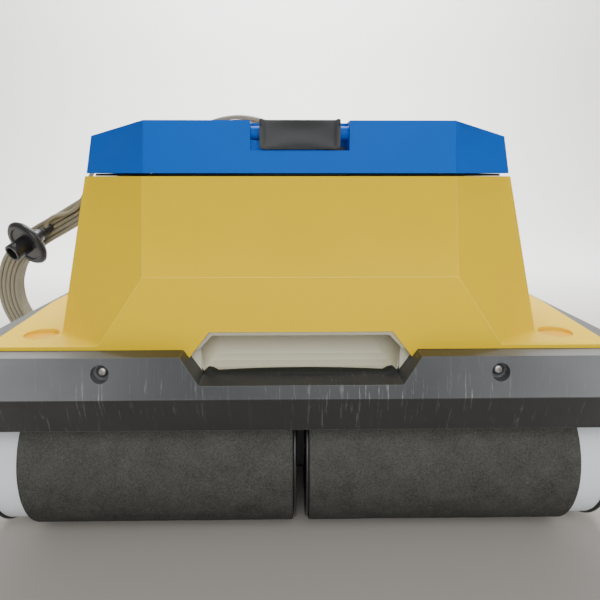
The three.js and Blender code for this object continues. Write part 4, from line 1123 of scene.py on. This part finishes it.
# %% Filters
pleat = lambda: block((-0.0010, -0.0007, -0.0790), (0.0010, 0.0007, 0.0790), 0.0005, 1)
for side, flip in (("left", -1), ("right", 1)):
    node = "filter_cartridge_" + side
    moulded(node, WHITE, width=0.0010, segments=2)
    low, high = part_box(node)
    outer_x = flip * (max(abs(low.x), abs(high.x)) - 0.0034)
    inner_x = flip * (min(abs(low.x), abs(high.x)) + 0.0034)
    walls = [in_row(pleat(), FILTER, 57, (x, -0.1120, 0.2515), (0.0, 0.0040, 0.0))
             for x in (outer_x, inner_x)]
    cloths = []
    for x, thick in ((outer_x, -0.0006), (inner_x, 0.0006)):
        near_x, far_x = sorted((x, x + flip * thick))
        cloths.append(block((near_x, -0.1148, 0.1655), (far_x, 0.1148, 0.3330)))
    settle(show(together("pleats", *walls, *cloths), "filter_pleats_" + side, FILTER), "chassis",
           "filter_white")
print("filters pleated")

# %% [markdown]
# ## Floor and light
# A pale floor runs up into a pale wall. A large soft lamp stands above the camera, with weaker ones in front,
# at both sides and behind, and a strong one is aimed at the wall. Soft light shows the planes of the hull
# without hard glints, and the bright wall keeps the outline clear.

# %% Stage
def lamp(name, size, power, spot, target):
    """A round soft lamp, size metres across, at spot and aimed at target."""
    light = bpy.data.lights.new(name, "AREA")
    light.shape, light.size, light.energy = "DISK", size, power
    holder = bpy.data.objects.new(name, light)
    bpy.context.scene.collection.objects.link(holder)
    holder.location = spot
    holder.rotation_euler = (Vector(target) - Vector(spot)).to_track_quat("-Z", "Y").to_euler()


pale = Finish("pale studio floor", (0.86, 0.86, 0.84), 0.8)
pale.give(Base_Color=pale.mixed(pale.along("Y").over(0.3, 1.3), (0.50, 0.47, 0.43), (0.93, 0.93, 0.91)))
sweep = bmesh.new()
WALL_FOOT, COVE = 2.2, 1.2
rise_angles = [math.radians(10 * step) for step in range(1, 10)]
cove = [(WALL_FOOT + COVE * math.sin(a), COVE - COVE * math.cos(a)) for a in rise_angles]
profile = [(-4.0, 0.0), (WALL_FOOT, 0.0), *cove, (3.4, 4.0)]
left_edge, right_edge = ([sweep.verts.new((x, y, z - 0.0006)) for y, z in profile] for x in (-5.0, 5.0))
for i in range(len(profile) - 1):
    sweep.faces.new((left_edge[i], right_edge[i], right_edge[i + 1], left_edge[i + 1]))
floor = show(mesh_of(sweep, "studio_floor"), "studio_floor", pale, smooth=60)
lamp("key lamp", 2.0, 32, (0.3, -2.1, 1.25), (0, 0, 0.2))
lamp("front lamp", 1.2, 7, (0.0, -2.2, 0.45), (0, 0, 0.15))
lamp("left lamp", 1.4, 2.0, (-2.0, -0.9, 0.9), (0, 0, 0.2))
lamp("right lamp", 1.4, 2.0, (2.0, -0.9, 0.9), (0, 0, 0.2))
lamp("rear lamp", 1.8, 8, (0.0, 2.0, 2.2), (0, 0, 0.2))
lamp("wall lamp", 2.0, 340, (0.0, 1.2, 3.2), (0, 3.2, 1.0))
world = bpy.data.worlds.new("soft room")
bpy.context.scene.world = world
world.use_nodes = True
world.node_tree.nodes["Background"].inputs["Color"].default_value = (0.93, 0.94, 0.95, 1)
world.node_tree.nodes["Background"].inputs["Strength"].default_value = 0.3
print("stage lit")
